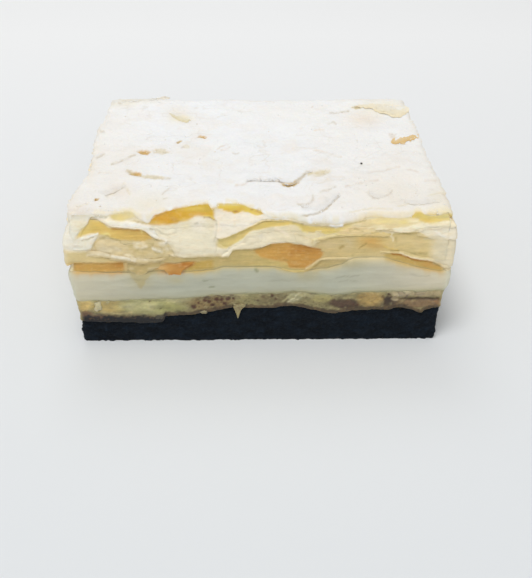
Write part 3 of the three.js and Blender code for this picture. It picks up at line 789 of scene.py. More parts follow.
# folds, edges and gaps; the darker strokes that fall in are painted shade in creases and under torn edges, besides some
# browned lines of the pastry itself, and the pale strokes that stand out are painted highlights on ridges: points, half
# width, shade, strength, how far they stand out or fall in
STROKES = [
    ([(95, 216.6), (101, 217.2), (107, 217.4)], 0.8, "grey", 0.8, -0.10), ([(134, 221), (139, 222.4), (145, 223.8), (150, 222.4)], 0.8, "tan", 0.8, -0.15),
    ([(143, 215.4), (148, 215.2)], 0.8, "bone", 0.7, 0.0), ([(112, 229), (125, 229.8), (141, 230.8)], 0.8, "orange", 0.8, -0.10), ([(141, 230.6), (142, 232.4)], 0.9, "straw", 0.9, 0.05),
    ([(97, 234), (92, 236), (86, 238.2), (82, 239)], 1.1, "milk", 0.9, 0.15), ([(82, 240.6), (87, 239.8), (93, 237.4)], 0.8, "grey", 0.85, -0.20),
    ([(104, 234.6), (108, 233.4), (110, 235.6)], 0.8, "straw", 0.7, 0.1), ([(96, 249), (94, 245), (98, 239.6), (104, 238.4)], 0.9, "tan", 0.6, -0.10),
    ([(134, 243.2), (141, 243.6), (146, 246.4), (141, 248.6), (135, 246.4)], 1.5, "bone", 0.85, 0.12), ([(129, 246.6), (132, 245.4)], 1.0, "olive", 0.8, -0.15),
    ([(138, 249.4), (146, 249)], 0.8, "olive", 0.6, -0.10), ([(153, 248.4), (157, 250.4), (162, 251.8)], 1.2, "pale", 0.85, 0.12), ([(155, 252.2), (159, 253)], 0.8, "olive", 0.7, -0.1),
    ([(116, 248.4), (120, 250)], 1.2, "bone", 0.7, 0.05), ([(87, 255.4), (92, 254), (100, 254.6), (108, 255.2)], 1.0, "bone", 0.7, 0.12),
    ([(112, 255.8), (118, 257.2), (126, 258), (131, 259.6), (135, 260.8)], 1.1, "pale", 0.85, 0.18), ([(125, 254.6), (131, 255.8), (135, 258.6), (142, 259.4), (149, 259.2)], 0.9, "bone", 0.8, 0.10),
    ([(100, 257.6), (110, 259), (120, 260.4), (128, 262)], 0.8, "brown", 0.7, -0.15), ([(132, 262.6), (136, 263.2)], 0.9, "brown", 0.8, -0.1),
    ([(128, 246.6), (136, 251.4), (146, 253.6)], 1.0, "olive", 0.5, -0.08), ([(100, 237.8), (107, 236.4), (113, 238.6), (120, 241)], 0.7, "olive", 0.6, -0.08),
    ([(60, 250.6), (66, 251.4), (80, 251.6), (90, 250.6)], 0.9, "bone", 0.6, 0.0), ([(124.6, 263), (125.4, 268), (123, 272)], 0.8, "olive", 0.7, -0.1),
    ([(155, 216.2), (160, 214.4), (166, 212.6)], 0.7, "orange", 0.8, -0.08), ([(204, 217.6), (209, 217.2), (213, 219), (215.4, 221)], 0.8, "brown", 0.85, -0.18),
    ([(204, 215.8), (210, 216), (214, 218.4)], 0.7, "yellow", 0.8, 0.05), ([(150, 229), (157, 230), (160, 231.6), (163, 234.2), (167, 235), (172, 233.4), (176, 232.2)], 0.9, "grey", 0.8, -0.15),
    ([(152, 234.6), (158, 237.4), (164, 239.2), (167, 241.8), (165, 243.6), (160, 243.4)], 1.2, "milk", 0.8, 0.18), ([(167.6, 241.6), (166.6, 244.4), (161, 245.2)], 0.9, "grey", 0.8, -0.15),
    ([(168, 247), (170, 250.4), (175, 252)], 0.9, "olive", 0.5, -0.12), ([(171, 246), (175, 251), (179, 254.6), (184, 257)], 1.0, "bone", 0.6, 0.10),
    ([(182, 255), (190, 254.6), (200, 255.4), (212, 254.8), (222, 254.4)], 1.1, "sand", 0.55, -0.05), ([(195, 224), (198, 223.4)], 0.9, "grey", 0.7, -0.05),
    ([(216.4, 222), (217, 228), (216, 234), (214, 242)], 1.0, "grey", 0.65, -0.18), ([(218.4, 220), (219, 227), (218, 234)], 1.1, "peach", 0.6, 0.10),
    ([(221, 209.6), (226, 212.2), (231, 212.8), (234, 214.6), (238, 213.8), (243, 212)], 0.7, "peach", 0.7, 0.10), ([(215, 207), (220, 204.6), (230, 203.8), (240, 204.2)], 0.8, "butter", 0.6, 0.0),
    ([(250, 209), (256, 211.2), (262, 213.4)], 0.7, "orange", 0.7, -0.1), ([(229, 248), (226, 251.6), (222, 254.8)], 0.8, "grey", 0.7, -0.12),
    ([(233, 247.4), (230, 250.8), (226, 254), (223, 256)], 1.0, "peach", 0.8, 0.15), ([(221, 249), (229, 249.6)], 0.8, "pale", 0.6, 0.05),
    ([(258, 223.2), (265, 221), (272, 220.8), (278, 221.8), (290, 221.4), (295, 223), (303, 224.2)], 0.8, "olive", 0.75, -0.12),
    ([(276, 228), (283, 231.6), (288, 236)], 1.3, "peach", 0.6, 0.08), ([(262, 246.2), (269, 243.8), (275, 241.8), (284, 241.6)], 0.8, "peach", 0.6, 0.10),
    ([(298, 226.4), (302, 230.6), (307, 232.6)], 0.8, "straw", 0.7, 0.05), ([(316, 231.8), (320, 231.4)], 1.0, "bone", 0.8, 0.05), ([(303, 225.2), (315, 226), (330, 227.4), (341, 227.4), (349, 224.6)], 0.8, "tan", 0.6, -0.10),
    ([(331, 225.2), (336, 226.4), (342, 225.2)], 1.2, "snow", 0.9, 0.10), ([(312, 240), (318, 238.4), (326, 236.6), (336, 235.2), (350, 235), (362, 235)], 0.8, "straw", 0.5, 0.10),
    ([(316, 240.8), (325, 238.8), (336, 237), (350, 236.8), (362, 236.4), (374, 236.8), (388, 237.6)], 0.8, "olive", 0.6, -0.08),
    ([(313, 240.6), (312, 244), (314, 247)], 0.9, "tan", 0.6, -0.10), ([(255, 249.6), (262, 247.8), (270, 245)], 0.8, "brown", 0.6, -0.1),
    ([(291, 246.6), (298, 245.4), (306, 246.6), (312, 248.2), (320, 249.8)], 0.9, "rust", 0.8, -0.12), ([(296, 245), (296.6, 247)], 0.8, "orange", 0.7, 0.0),
    ([(306, 268.6), (311, 266), (315, 262.6), (319, 260), (326, 258.4), (338, 258.2), (352, 258.4)], 0.9, "sand", 0.8, 0.12), ([(305, 271), (311, 268.8), (316, 265), (321, 261.4)], 0.9, "brown", 0.7, -0.12),
    ([(338, 248), (341, 245.6), (348, 243.4)], 0.9, "tan", 0.5, 0.0), ([(340, 248.4), (343, 246.6)], 1.2, "brown", 0.6, -0.1),
    ([(345, 224.8), (353, 223.4), (360, 221.8), (366, 220.2)], 0.8, "tan", 0.8, -0.12), ([(350, 230.4), (355, 229.2), (362, 231)], 1.1, "tan", 0.7, -0.10),
    ([(376, 231), (385, 230.2), (391, 229.8), (393.6, 231)], 0.8, "tan", 0.75, -0.15), ([(395, 232.8), (403, 233.4), (410, 233.2), (414, 232), (418, 230.6)], 0.8, "olive", 0.75, -0.18),
    ([(392, 233.6), (390.6, 236), (393, 238), (393, 240.4)], 0.9, "bone", 0.65, 0.12), ([(396, 238), (396, 243)], 1.1, "olive", 0.6, -0.12), ([(372, 233), (382, 232.6), (390, 234.2)], 1.0, "gold", 0.6, 0.05),
    ([(359, 248.6), (362, 246.6), (366, 244)], 0.8, "brown", 0.7, -0.12), ([(391, 251), (398, 250.8)], 0.8, "brown", 0.7, -0.12), ([(404, 252.8), (410, 253.8), (417, 253.8), (426, 253.6)], 1.3, "olive", 0.75, -0.12),
    ([(352, 255), (356, 252.6)], 1.1, "olive", 0.5, -0.1), ([(384, 246.4), (390, 248.4), (397, 249.6)], 0.9, "gold", 0.5, 0.06),
    ([(400, 252.6), (405, 255.2), (411, 257.2), (418, 258.8), (426, 259.2), (432, 260.4)], 0.8, "bone", 0.85, 0.18), ([(392, 254), (401, 255), (407, 257.2), (414, 259.6), (422, 260.6), (428, 261.2), (432, 262.6)], 0.9, "rust", 0.8, -0.22),
    ([(428, 227.8), (440, 227.4), (456, 227.4)], 0.7, "grey", 0.4, -0.10), ([(436, 231.8), (442, 235.6), (448, 237.6), (456, 237.4)], 1.2, "milk", 0.7, 0.12),
    ([(424, 238.6), (436, 239), (446, 239.6)], 0.8, "grey", 0.5, -0.10), ([(441, 265.6), (445, 268), (449, 271)], 0.9, "bone", 0.6, 0.08), ([(434, 262.8), (441, 265.8)], 0.8, "olive", 0.6, -0.12),
    ([(426, 226), (434, 224.6), (446, 225)], 0.9, "peach", 0.5, 0.06), ([(396, 246.6), (402, 244.6)], 0.8, "tan", 0.5, -0.06), ([(368, 228.4), (374, 226.4), (384, 226)], 0.9, "butter", 0.6, 0.06),
]


def strokes(u, v, tint=None):
    """Paints the fine lines into tint, with their painted shade and painted highlights; returns it and the relief that
    they make.
    """
    relief = np.zeros(np.shape(u))
    su, sv = u + 0.5 * fbm(u / 2.4, v / 2.4, 5, 111, 2), v + 0.5 * fbm(u / 2.4, v / 2.4, 6, 112, 2)
    for pts, wd, c3, k2, rise in STROKES:
        q = np.array(pts)
        near = (u > q[:, 0].min() - 5) & (u < q[:, 0].max() + 5) & (v > q[:, 1].min() - 5) & (v < q[:, 1].max() + 5)
        if not near.any():
            continue
        d, _ = polyline_distance(su[near], sv[near], pts)
        w = bell(d, wd * 1.15) * (0.7 + 0.5 * sstep(-0.4, 0.3, vn(u[near] / 2.8, v[near] / 2.2, 9, 113)))
        relief[near] += 0.6 * rise * np.clip(w, 0, 1)
        if tint is not None:
            tint[near] = paint(tint[near], d8(*SHADES[c3]), k2 * w)
    return tint, relief


def band(u, v, up, lo, soft_up, soft_lo, ends=2.5):
    fu, fl = curve(up), curve(lo)
    u0 = max(up[0][0], lo[0][0])
    u1 = min(up[-1][0], lo[-1][0])
    a, b = fu(u), fl(u)
    w = sstep(-soft_up, soft_up, v - a) * sstep(-soft_lo, soft_lo, b - v)
    w = w * sstep(u0 - ends, u0 + ends, u) * sstep(u1 + ends, u1 - ends, u)
    t = np.clip((v - a) / np.maximum(b - a, 0.5), 0, 1)
    s_ = np.clip((u - u0) / (u1 - u0), 0, 1)
    return w, t, s_


LEAN = curve([(196, -10.0), (202, -8.6), (205, -7.0), (206.6, -6.2), (209.2, -4.8), (212.8, -3.0), (216.3, -1.8), (219.2, -1.1),
              (222.2, -0.6), (228, -0.1), (240, 0.0)])


def lean(u, v):
    """The pastry rolls back at its upper edge; mm behind the plane of the cut for what shows at (u, v)."""
    v = np.asarray(v, float)
    return LEAN(v) - 0.9 * np.clip((246 - v) / 30.0, 0, 1)


def wall_tint(u, v):
    """Plain colour of the pastry between the named zones, paler upwards."""
    share_ = np.clip((266 - np.asarray(v, float)) / 48.0, 0, 1)[..., None]
    return d8(198, 178, 128) * (1 - share_) + d8(226, 214, 184) * share_


def zones_at(u, v, fine=True):
    """Colour of the cut pastry seen at (u, v), and how far out it stands."""
    u, v = np.asarray(u, float), np.asarray(v, float)
    uj = u + 0.9 * fbm(u / 5, v / 4, 0, 47, 3)
    vj = v + 0.7 * fbm(u / 6, v / 4, 3, 48, 3)
    tint, depth = wall_tint(u, v), np.full(u.shape, -0.2)
    for up, lo, d0, d1, c0, c1, su, sl, *ends in ZONES:
        w, t, s_ = band(uj, vj, up, lo, su, sl, *ends)
        c = c0 * (1 - s_[..., None]) + c1 * s_[..., None]
        tint = tint * (1 - w[..., None]) + c * w[..., None]
        depth = depth * (1 - w) + (d0 * (1 - t) + d1 * t) * w
    if fine:
        for a0, b0, ra, rb, c, k2 in SPOTS:
            near = (np.abs(u - a0) < 3 * ra) & (np.abs(v - b0) < 3 * rb + 2)
            if near.any():
                tint[near] = paint(tint[near], d8(*SHADES[c]), k2 * bell(np.hypot((uj[near] - a0) / ra, (vj[near] - b0) / rb), 1.0))
        cloud = fbm(u / 4.5, v / 2.6, 2, 114, 4)
        tint = tint * (1 + 0.045 * cloud)[..., None]
        tint = paint(tint, d8(214, 190, 138), 0.16 * sstep(0.1, 0.5, fbm(u / 3.4, v / 2.2, 7, 115, 3)))
        tint, relief = strokes(u, v, tint)
        depth = depth + relief
    return np.clip(tint / LIT(v)[..., None], 0, 0.985), depth


# ---------------------------------------------------------------- cocoa base
rim = Rim(0.42, 0.6, 0.6)
soup = Soup()
zt = custard_foot(rim) + 0.5
m = 34
t = np.linspace(0, 1, m)[None, :]
z = zt[:, None] * t
s = rim.s[:, None]
k = rim.s / rim.length * 2 * math.pi
cx, cy = (np.cos(k) * 66)[:, None], (np.sin(k) * 66)[:, None]
w = (-0.15 + bulge(rim, z) + 0.35 * fbm(cx / 5, cy / 5, z / 3.5, 11, 3) + 0.30 * fbm(cx / 1.3, cy / 1.3, z / 1.1, 12, 3)
     - 0.15 * bell(t, 0.05) - 0.3 * bell(1 - t, 0.06))
crumb = sstep(0.35, 0.75, vn(cx / 0.9, cy / 0.9, z / 0.9, 13))
w = w + 0.35 * crumb
zz = z + 0.0
zz[:, 0] = 0.0
# the bluish cast of the near-black cocoa is a painted reflection of the pale surroundings
tint = np.broadcast_to(np.array([0.0046, 0.0086, 0.0146]), (rim.n, m, 3)) * (
    0.8 + 0.5 * fbm(cx / 2.2, cy / 2.2, z / 1.2, 14, 3) + 0.35 * crumb)[..., None]
solid_wall(soup, rim.at(w, zz), tint, low=0.0)
soup.build("cocoa_sponge", M_COCOA, "cocoa_base")

# ---------------------------------------------------------------- custard
rim = Rim(0.34, 0.6, 0.6)
soup = Soup()
zl = custard_foot(rim) - 0.25
zh = custard_top(rim) + 0.25
m = 30
t = np.linspace(0, 1, m)[None, :]
k = rim.s / rim.length * 2 * math.pi
cx, cy = (np.cos(k) * 66)[:, None], (np.sin(k) * 66)[:, None]
z = zl[:, None] * (1 - t) + zh[:, None] * t
w = 0.05 + bulge(rim, z) + 0.28 * fbm(cx / 4, cy / 4, z / 2.5, 21, 3) + 0.16 * fbm(cx / 1.2, cy / 1.2, z / 0.9, 22, 2)
w = w + 0.25 * bell(t, 0.12) * (1 + around(rim, 23, 3, 2)[:, None])
P = rim.at(w, z)
u, v = to_frame(P)
gran = sstep(186, 196, u) * sstep(242, 234, u) + sstep(330, 338, u) * sstep(446, 440, u)
w = w + rim.front[:, None] * (0.22 * gran * fbm(u / 2.2, v / 2.0, 8, 39, 2) + 0.35 * bell(np.hypot((u - 145) / 26, (v - 306) / 4.5), 1.0)
                              + 0.4 * bell(np.hypot((u - 404) / 11, (v - 293) / 3.4), 1.0) - 0.5 * bell(v - 298.8, 1.2) * sstep(392, 400, u)
                              - 0.45 * bell(np.hypot((u - 315) / 5, (v - 292.6) / 2), 1.0))
P = rim.at(w, z)
u, v = to_frame(P)
fr = (rim.side == 0)[:, None] * np.ones_like(u)
C_PALE, C_GREEN, C_GOLD = lin(172, 165, 124, KF), lin(162, 157, 108, KF), lin(192, 167, 104, KF)
C_OLIVE, C_BROWN, C_DARK = lin(138, 130, 92, KF), lin(124, 106, 68, KF), lin(64, 48, 36, KF)
C_TAN, C_FRINGE = lin(124, 101, 72, KF), lin(84, 66, 46, KF)


def spot(u, v, u0, v0, ru, rv, warp=0.0):
    if warp:
        u = u + warp * fbm(u / 6, v / 4, u0, 29, 3)
        v = v + 0.6 * warp * fbm(u / 6, v / 4, v0 + 7, 29, 3)
    r = np.hypot((u - u0) / ru, (v - v0) / rv)
    return sstep(1.35, 0.65, r)


blot = fbm(cx / 5.5, cy / 5.5, z / 3.0, 24, 3)
tint = np.ones(z.shape + (3,)) * lin(168, 152, 100, KF)
tint = paint(tint, C_PALE, sstep(0.05, 0.35, blot))
tint = paint(tint, C_BROWN, sstep(0.16, 0.45, -blot) * 0.7)
tint = paint(tint, C_GREEN, sstep(0.2, 0.5, fbm(cx / 8, cy / 8, z / 4, 25, 2)) * 0.7)
seeds = sstep(0.42, 0.62, vn(cx / 0.9, cy / 0.9, z / 0.9, 30)) * sstep(0.0, 0.3, fbm(cx / 7, cy / 7, z / 3, 35, 2))
tint = paint(tint, C_DARK, seeds * 0.9)

front_tint = np.ones(z.shape + (3,)) * C_OLIVE
for (a, b, c, d, col, k2) in [
        (82, 304, 10, 7, C_GOLD, 1.0), (110, 306, 17, 7, lin(174, 153, 96, KF), 1.0), (152, 306, 34, 8, C_GREEN, 1.0),
        (142, 306.5, 19, 4, C_PALE, 0.9), (172, 309, 12, 5, lin(140, 136, 86, KF), 0.8), (176, 299, 14, 3, C_PALE, 0.5),
        (212, 304, 24, 9, C_BROWN, 1.0), (250, 299, 12, 8, lin(142, 135, 94, KF), 0.9), (243, 293, 8, 3, C_PALE, 0.7),
        (280, 301, 12, 7, lin(112, 102, 72, KF), 0.8), (312, 294, 17, 5, C_PALE, 0.9), (306, 301, 12, 4, C_OLIVE, 0.6),
        (346, 304, 15, 5, C_DARK, 0.95), (340, 295, 13, 3.5, C_OLIVE, 0.7), (372, 298, 12, 8, lin(160, 142, 92, KF), 0.9),
        (370, 304, 13, 3, C_BROWN, 0.7), (390, 302, 10, 5, C_DARK, 0.9), (404, 292, 16, 4.5, lin(166, 152, 120, KF), 0.95),
        (430, 292, 14, 4.5, lin(168, 154, 120, KF), 0.95), (420, 303, 22, 4, C_TAN, 0.95), (392, 291, 7, 4, C_PALE, 0.5)]:
    front_tint = paint(front_tint, col, k2 * spot(u, v, a, b, c, d, 2.6))
dark_line = bell(v - 298.6 - 0.5 * fbm(u / 5, 0, 5, 36, 2), 1.1) * sstep(392, 400, u) * sstep(444, 438, u)
front_tint = paint(front_tint, lin(84, 68, 48, KF), 0.9 * dark_line)
foot_line = curve(CUSTARD_FOOT_LINE)(u)
front_tint = paint(front_tint, lin(118, 78, 52, KF), 0.7 * spot(u, v, 86, 314, 7, 3, 2))
SEEDS = [(193.5, 306.5, 1.8), (204, 300, 1.5), (206.5, 296.6, 1.7), (210, 301.5, 1.5), (213, 305, 1.6), (216.6, 298.6, 1.9),
         (219.5, 294.6, 1.7), (222, 299.5, 1.4), (225, 303, 1.3), (228, 298.4, 1.8), (231.6, 294.8, 1.6), (234, 299, 1.2),
         (198, 303, 1.2), (263.5, 296.6, 1.5), (271.5, 295.8, 1.5), (276, 299, 1.0), (257, 300, 0.9), (334, 300.5, 1.4),
         (343, 305, 1.3), (352, 303.5, 1.4), (358, 305, 1.1), (366, 303, 1.1), (383, 297, 1.6), (389.5, 294, 1.3), (396, 296.8, 1.3),
         (402, 291, 0.9), (411, 289.6, 0.9), (418, 294, 0.9), (388, 289.6, 0.9), (287, 304, 1.0), (150, 301, 0.8), (160, 309, 0.7)]
clot = sstep(0.0, 0.5, fbm(u / 1.7, v / 1.4, 11, 109, 3) - 0.02)
for (a, b, ru, rv, k2) in [(212, 300, 24, 6.5, 0.75), (222, 297, 13, 4.5, 0.6), (196, 306, 9, 4, 0.5), (268, 297, 12, 4, 0.55), (344, 303, 16, 6, 0.6),
                           (388, 297, 10, 5, 0.7), (412, 302, 26, 5, 0.45), (84, 311, 8, 5, 0.4), (108, 314, 24, 3, 0.4), (404, 290, 16, 3, 0.35), (372, 301, 12, 4, 0.35)]:
    front_tint = paint(front_tint, lin(78, 56, 40, KF), k2 * clot * bell(np.hypot((u - a) / ru, (v - b) / rv), 1.0))
front_tint = paint(front_tint, lin(170, 162, 118, KF), 0.3 * sstep(0.15, 0.5, fbm(u / 4.2, v / 2.4, 12, 110, 3)) * sstep(186, 200, u))
front_tint = paint(front_tint, lin(150, 150, 104, KF), 0.7 * spot(u, v, 324, 293.5, 8, 2.6, 1.0))
front_tint = paint(front_tint, lin(70, 84, 48, KF), 0.9 * spot(u, v, 315.5, 292.6, 4.4, 1.5, 1.0))
for pts in ([(285, 304), (292, 299), (299, 293.6), (306, 290)], [(287, 306), (295, 301), (302, 295.6), (309, 292.6)], [(283, 301), (289, 296.6), (296, 291.6)]):
    d_, _ = polyline_distance(u + 0.8 * fbm(u / 3, v / 3, 1, 116, 2), v, pts)
    front_tint = paint(front_tint, lin(178, 170, 128, KF), 0.75 * bell(d_, 0.9))
front_tint = paint(front_tint, C_FRINGE, 0.35 * sstep(0.35, 0.6, vn(u / 1.5, v / 1.2, 4, 38)) * sstep(186, 200, u))
left_w = sstep(186, 166, u)
for (a, b, c) in SEEDS:
    front_tint = paint(front_tint, lin(72, 42, 28, KF), 0.95 * spot(u, v, a, b, c * 1.35, c * 1.05, 2.0))
for (a, b, c, d, col, k2) in [  # fruit-like pieces and browned places
        (342, 303, 14, 3.4, lin(84, 65, 50, KF), 0.9), (370, 299, 12.5, 6.5, lin(166, 141, 88, KF), 0.9), (365, 303.6, 2.4, 1.2, C_BROWN, 0.8),
        (388.5, 300, 5.5, 3.2, lin(64, 49, 38, KF), 0.9), (400, 293, 9, 3.8, lin(178, 164, 132, KF), 0.9), (395, 298.6, 4, 2.2, lin(176, 162, 130, KF), 0.7),
        (424, 293.4, 13, 3.2, lin(170, 154, 120, KF), 0.85), (423, 303, 17, 3.4, lin(126, 104, 76, KF), 0.8), (440, 301, 5, 3, lin(138, 102, 66, KF), 0.7),
        (294, 297, 7, 4.2, lin(172, 170, 136, KF), 0.6), (322, 298.6, 10, 3.4, lin(172, 163, 108, KF), 0.7), (315.5, 292.4, 4.6, 1.7, lin(76, 82, 46, KF), 0.9),
        (264, 299, 7, 5, lin(122, 110, 78, KF), 0.6), (86, 306, 9, 4.4, C_GOLD, 0.3), (141, 307, 10, 3.6, lin(172, 167, 118, KF), 0.7), (164, 307, 12, 5, lin(140, 140, 88, KF), 0.35)]:
    front_tint = paint(front_tint, col, k2 * spot(u, v, a, b, c, d, 2.2))
for pts, wd, col, k2 in [([(101, 312.4), (109, 313.6), (120, 314), (131, 312.6)], 1.0, lin(184, 168, 118, KF), 0.75),
                         ([(120, 301.8), (135, 301.2), (150, 300.8), (166, 300.4)], 0.8, lin(106, 106, 66, KF), 0.6),
                         ([(408, 298.6), (418, 297.8), (430, 298.8), (443, 299)], 1.0, lin(78, 60, 44, KF), 0.85),
                         ([(391, 290.6), (397, 289.4), (402, 291.4), (407, 295.6), (404, 298.4)], 0.7, lin(92, 76, 56, KF), 0.7),
                         ([(286, 303.6), (292, 299.4), (298, 293.4), (304, 290.6)], 0.7, lin(200, 196, 166, KF), 0.65),
                         ([(290, 301.6), (299, 298.4), (306, 293.6)], 0.6, lin(198, 194, 162, KF), 0.5)]:
    d_, _ = polyline_distance(u + 1.2 * fbm(u / 3, v / 3, 1, 130, 2), v + 1.2 * fbm(u / 3, v / 3, 2, 130, 2), pts)
    front_tint = paint(front_tint, col, k2 * bell(d_, wd))
left_w = sstep(186, 166, u)
front_tint = front_tint * np.exp((0.17 - 0.05 * left_w) * fbm(u / 1.9, v / 1.4, 5, 121, 3) + 0.30 * fbm(u / 9, v / 3.2, 6, 122, 3)
                                 + 0.16 * left_w * fbm(u / 16, v / 1.1, 7, 128, 2))[..., None]
maroon = sstep(166, 150, u) * bell(v - foot_line + 2.6, 3.2) * sstep(-0.25, 0.35, fbm(u / 3.2, v / 1.8, 7, 123, 3))
front_tint = paint(front_tint, lin(52, 36, 30, KF), 0.85 * maroon)
front_tint = front_tint * (1 - np.array([0.04, 0.06, 0.11]) * sstep(226, 240, u)[..., None])
# towards its foot the custard is painted dark brown and then near-black: partly cocoa-soaked crumbs, partly painted
# shade where the custard meets the cocoa base
reach = 3.0 + 4.6 * sstep(172, 160, u)
foot_shade_w = sstep(0, 1, (v - (foot_line - reach) + 1.5 * fbm(u / 3.4, v / 2.4, 6, 37, 3)) / np.maximum(reach * 0.55, 1.0))
front_tint = paint(front_tint, C_FRINGE, 0.85 * foot_shade_w)
front_tint = paint(front_tint, lin(92, 64, 52, KF), 0.8 * foot_shade_w * sstep(112, 96, u))
front_tint = paint(front_tint, np.array([0.004, 0.005, 0.007]), 0.96 * sstep(0.22, 0.62, (v - foot_line + reach + 2.6 * fbm(u / 2.6, v / 1.8, 7, 132, 3) + 2.2 * fbm(u / 9, v / 6, 8, 133, 2)) / reach) * (0.4 + 0.6 * sstep(172, 160, u)))
top_v = curve(CUSTARD_TOP_LINE)(u)
front_tint = paint(front_tint, lin(170, 166, 130, KF), 0.65 * np.exp(-np.clip(v - top_v + 0.3, 0, 50) / (0.9 + 0.7 * sstep(-0.2, 0.4, fbm(u / 6, 0, 3, 126, 2)))))
w_front = rim.front[:, None] * np.ones_like(u)
tint = mix(tint, front_tint * 1.06, w_front)
solid_wall(soup, P, tint, low=12.5, high=18.8)
# the run of custard that hangs down over the base
up = [(233, 303), (236, 304), (240, 303.5), (246, 304)]
lo = [(233, 305.5), (235.6, 312), (238, 317.6), (240, 312.6), (242, 308.6), (246, 306.4)]
us = np.linspace(233.5, 245.5, 26)[:, None]
bb = np.linspace(0, 1, 14)[None, :]
vv = curve(up)(us) * (1 - bb) + (curve(lo)(us) + 0.9 * fbm(us / 1.3, 0, 3, 117, 3)) * bb
out = 0.05 + 0.22 * np.sin(math.pi * np.clip((us - 233) / 13, 0, 1)) + 0.1 * bb + 0.15 * fbm(us / 1.5, bb * 4, 1, 118, 2)
drip = np.ones(vv.shape + (3,)) * lin(150, 139, 100, KF)
drip = paint(drip, lin(112, 92, 62, KF), sstep(0.0, 0.4, fbm((us + 0 * bb) / 2.2, vv / 1.6, 2, 119, 3)) * 0.8)
leaf(soup, on_front(us + 0 * vv, vv, out), 0.6, drip)
# pale lump at the left and the crumb right of the middle
for (a, b, ru, rv, d, col) in [(98, 306.5, 4.2, 5.2, 0.5, lin(190, 178, 140, KF)),
                               (107, 303, 3.0, 2.6, 0.3, lin(178, 166, 120, KF)), (404, 294, 6.5, 2.6, 0.35, lin(170, 152, 120, KF)),
                               (420, 293.4, 5.5, 2.2, 0.3, lin(168, 150, 118, KF)),
                               (160, 317.5, 5.0, 2.0, 0.25, lin(76, 70, 56, KF)), (204, 312, 3.6, 1.8, 0.35, lin(150, 138, 104, KF))]:
    A = np.linspace(0, 2 * math.pi, 20, endpoint=False)[:, None]
    B = np.linspace(0.02, 1, 7)[None, :]
    rr = 1 + 0.4 * vn(np.cos(A) * 1.8, np.sin(A) * 1.8, a, 27)
    U_, V_ = a + ru * B * np.cos(A) * rr, b + rv * B * np.sin(A) * rr
    Pf = on_front(U_, V_, d * np.sqrt(np.clip(1 - B ** 2, 0, 1)) + 0.05 + 0.12 * vn(U_ / 1.6, V_ / 1.6, 1, 28))
    Pb = on_front(U_, V_, -0.8 + 0 * U_)
    n_, m_ = Pf.shape[:2]
    nb = n_ * m_
    q1 = grid_quads(n_, m_, closed=True)
    idx = np.arange(nb).reshape(n_, m_)
    ring = np.stack([idx[:, -1], np.roll(idx[:, -1], -1), np.roll(idx[:, -1], -1) + nb, idx[:, -1] + nb], -1)
    hub = np.stack([idx[:, 0], np.roll(idx[:, 0], -1), np.roll(idx[:, 0], -1) + nb, idx[:, 0] + nb], -1)
    soup.add(np.concatenate([Pf.reshape(-1, 3), Pb.reshape(-1, 3)]),
             np.concatenate([q1[:, ::-1], q1 + nb, ring, hub[:, ::-1]]), tint=col)
soup.build("custard_filling", M_CUSTARD, "custard_layer")

# ---------------------------------------------------------------- cream
rim = Rim(0.5, 0.8, 0.8)
soup = Soup()
zl = custard_top(rim) - 0.1
zh = cream_top(rim) + 0.35
m = 28
t = np.linspace(0, 1, m)[None, :]
k = rim.s / rim.length * 2 * math.pi
cx, cy = (np.cos(k) * 66)[:, None], (np.sin(k) * 66)[:, None]
z = zl[:, None] * (1 - t) + zh[:, None] * t
w = (0.25 + bulge(rim, z) + 0.30 * np.sin(math.pi * t) + 0.22 * fbm(cx / 14, cy / 14, z / 5, 31, 2)
     + 0.10 * fbm(cx / 9, cy / 9, z / 0.9, 32, 2) + 0.05 * fbm(cx / 2, cy / 2, z / 1.5, 33, 2))
w = w - (0.55 + 0.15 * rim.front[:, None]) * np.exp(-(zh[:, None] - z) / 0.9)
w = w - 0.25 * bell(t, 0.04) + 0.12 * (rim.side != 0)[:, None] * fbm(cx / 3, cy / 3, z / 2, 34, 2)
P = rim.at(w, z)
u, v = to_frame(P)
KC = 0.87
# painted shade: the cut front of the cream is painted greyer and darker than its sides, which keep the whiter cream
side_cream = lin(203, 200, 179, KC)
front_shade_grey, warm_l, warm_r = lin(175, 176, 158, KC), lin(194, 188, 165, KC), lin(201, 193, 170, KC)
q = sstep(60, 190, u)[..., None]
fc = warm_l * (1 - q) + front_shade_grey * q
q = sstep(330, 448, u)[..., None]
fc = fc * (1 - q) + warm_r * q
fc = fc * (1 + 0.05 * fbm(u / 40, v / 3, 3, 98, 2))[..., None]
top_line, low_line = curve(CREAM_TOP_LINE)(u), curve(CUSTARD_TOP_LINE)(u)
stain = zones_at(u, np.minimum(v, top_line - 1.6))[0]
w_s = 0.95 * np.exp(-(np.clip(v - top_line + 0.6, 0, 50) / (2.2 + 1.2 * sstep(-0.2, 0.4, vn(u / 7, 0, 9, 99)) + 2.6 * bell(u - 372, 26))) ** 1.3)[..., None]
fc = fc * (1 - w_s) + stain * w_s
tail, _, _ = band(u + 1.2 * fbm(u / 4, v / 4, 1, 127, 3), v + 1.2 * fbm(u / 4, v / 4, 2, 127, 3), [(127, 264), (156, 264)],
                  [(127, 270), (133, 278), (139, 288), (141, 289), (146, 280), (156, 272)], 1.5, 2.5, 3.0)
fc = paint(fc, lin(176, 161, 116, KC), 0.85 * tail)
for (a, b, c, d) in [(308, 276, 13, 6), (141, 280, 12, 9), (352, 264, 12, 5), (176, 280, 9, 4)]:
    fc = paint(fc, lin(174, 164, 124, KC), 0.55 * bell(np.hypot((u - a) / c, (v - b) / d), 1.0))
fc = paint(fc, lin(176, 168, 124, KC), 0.6 * np.exp(-np.clip(low_line - v, 0, 50) / 2.6))
fc = paint(fc, lin(150, 144, 104, KC), 0.5 * np.exp(-np.clip(low_line - v, 0, 50) / 1.3) * sstep(190, 215, u))
for (a, b, c, d) in [(257, 271, 2.0, 1.8), (212, 287, 3.5, 0.9), (205, 281, 3.0, 0.7), (255.5, 269.5, 1.5, 1.5)]:
    fc = paint(fc, lin(126, 128, 98, KC), 0.55 * spot(u, v, a, b, c, d, 0.6))
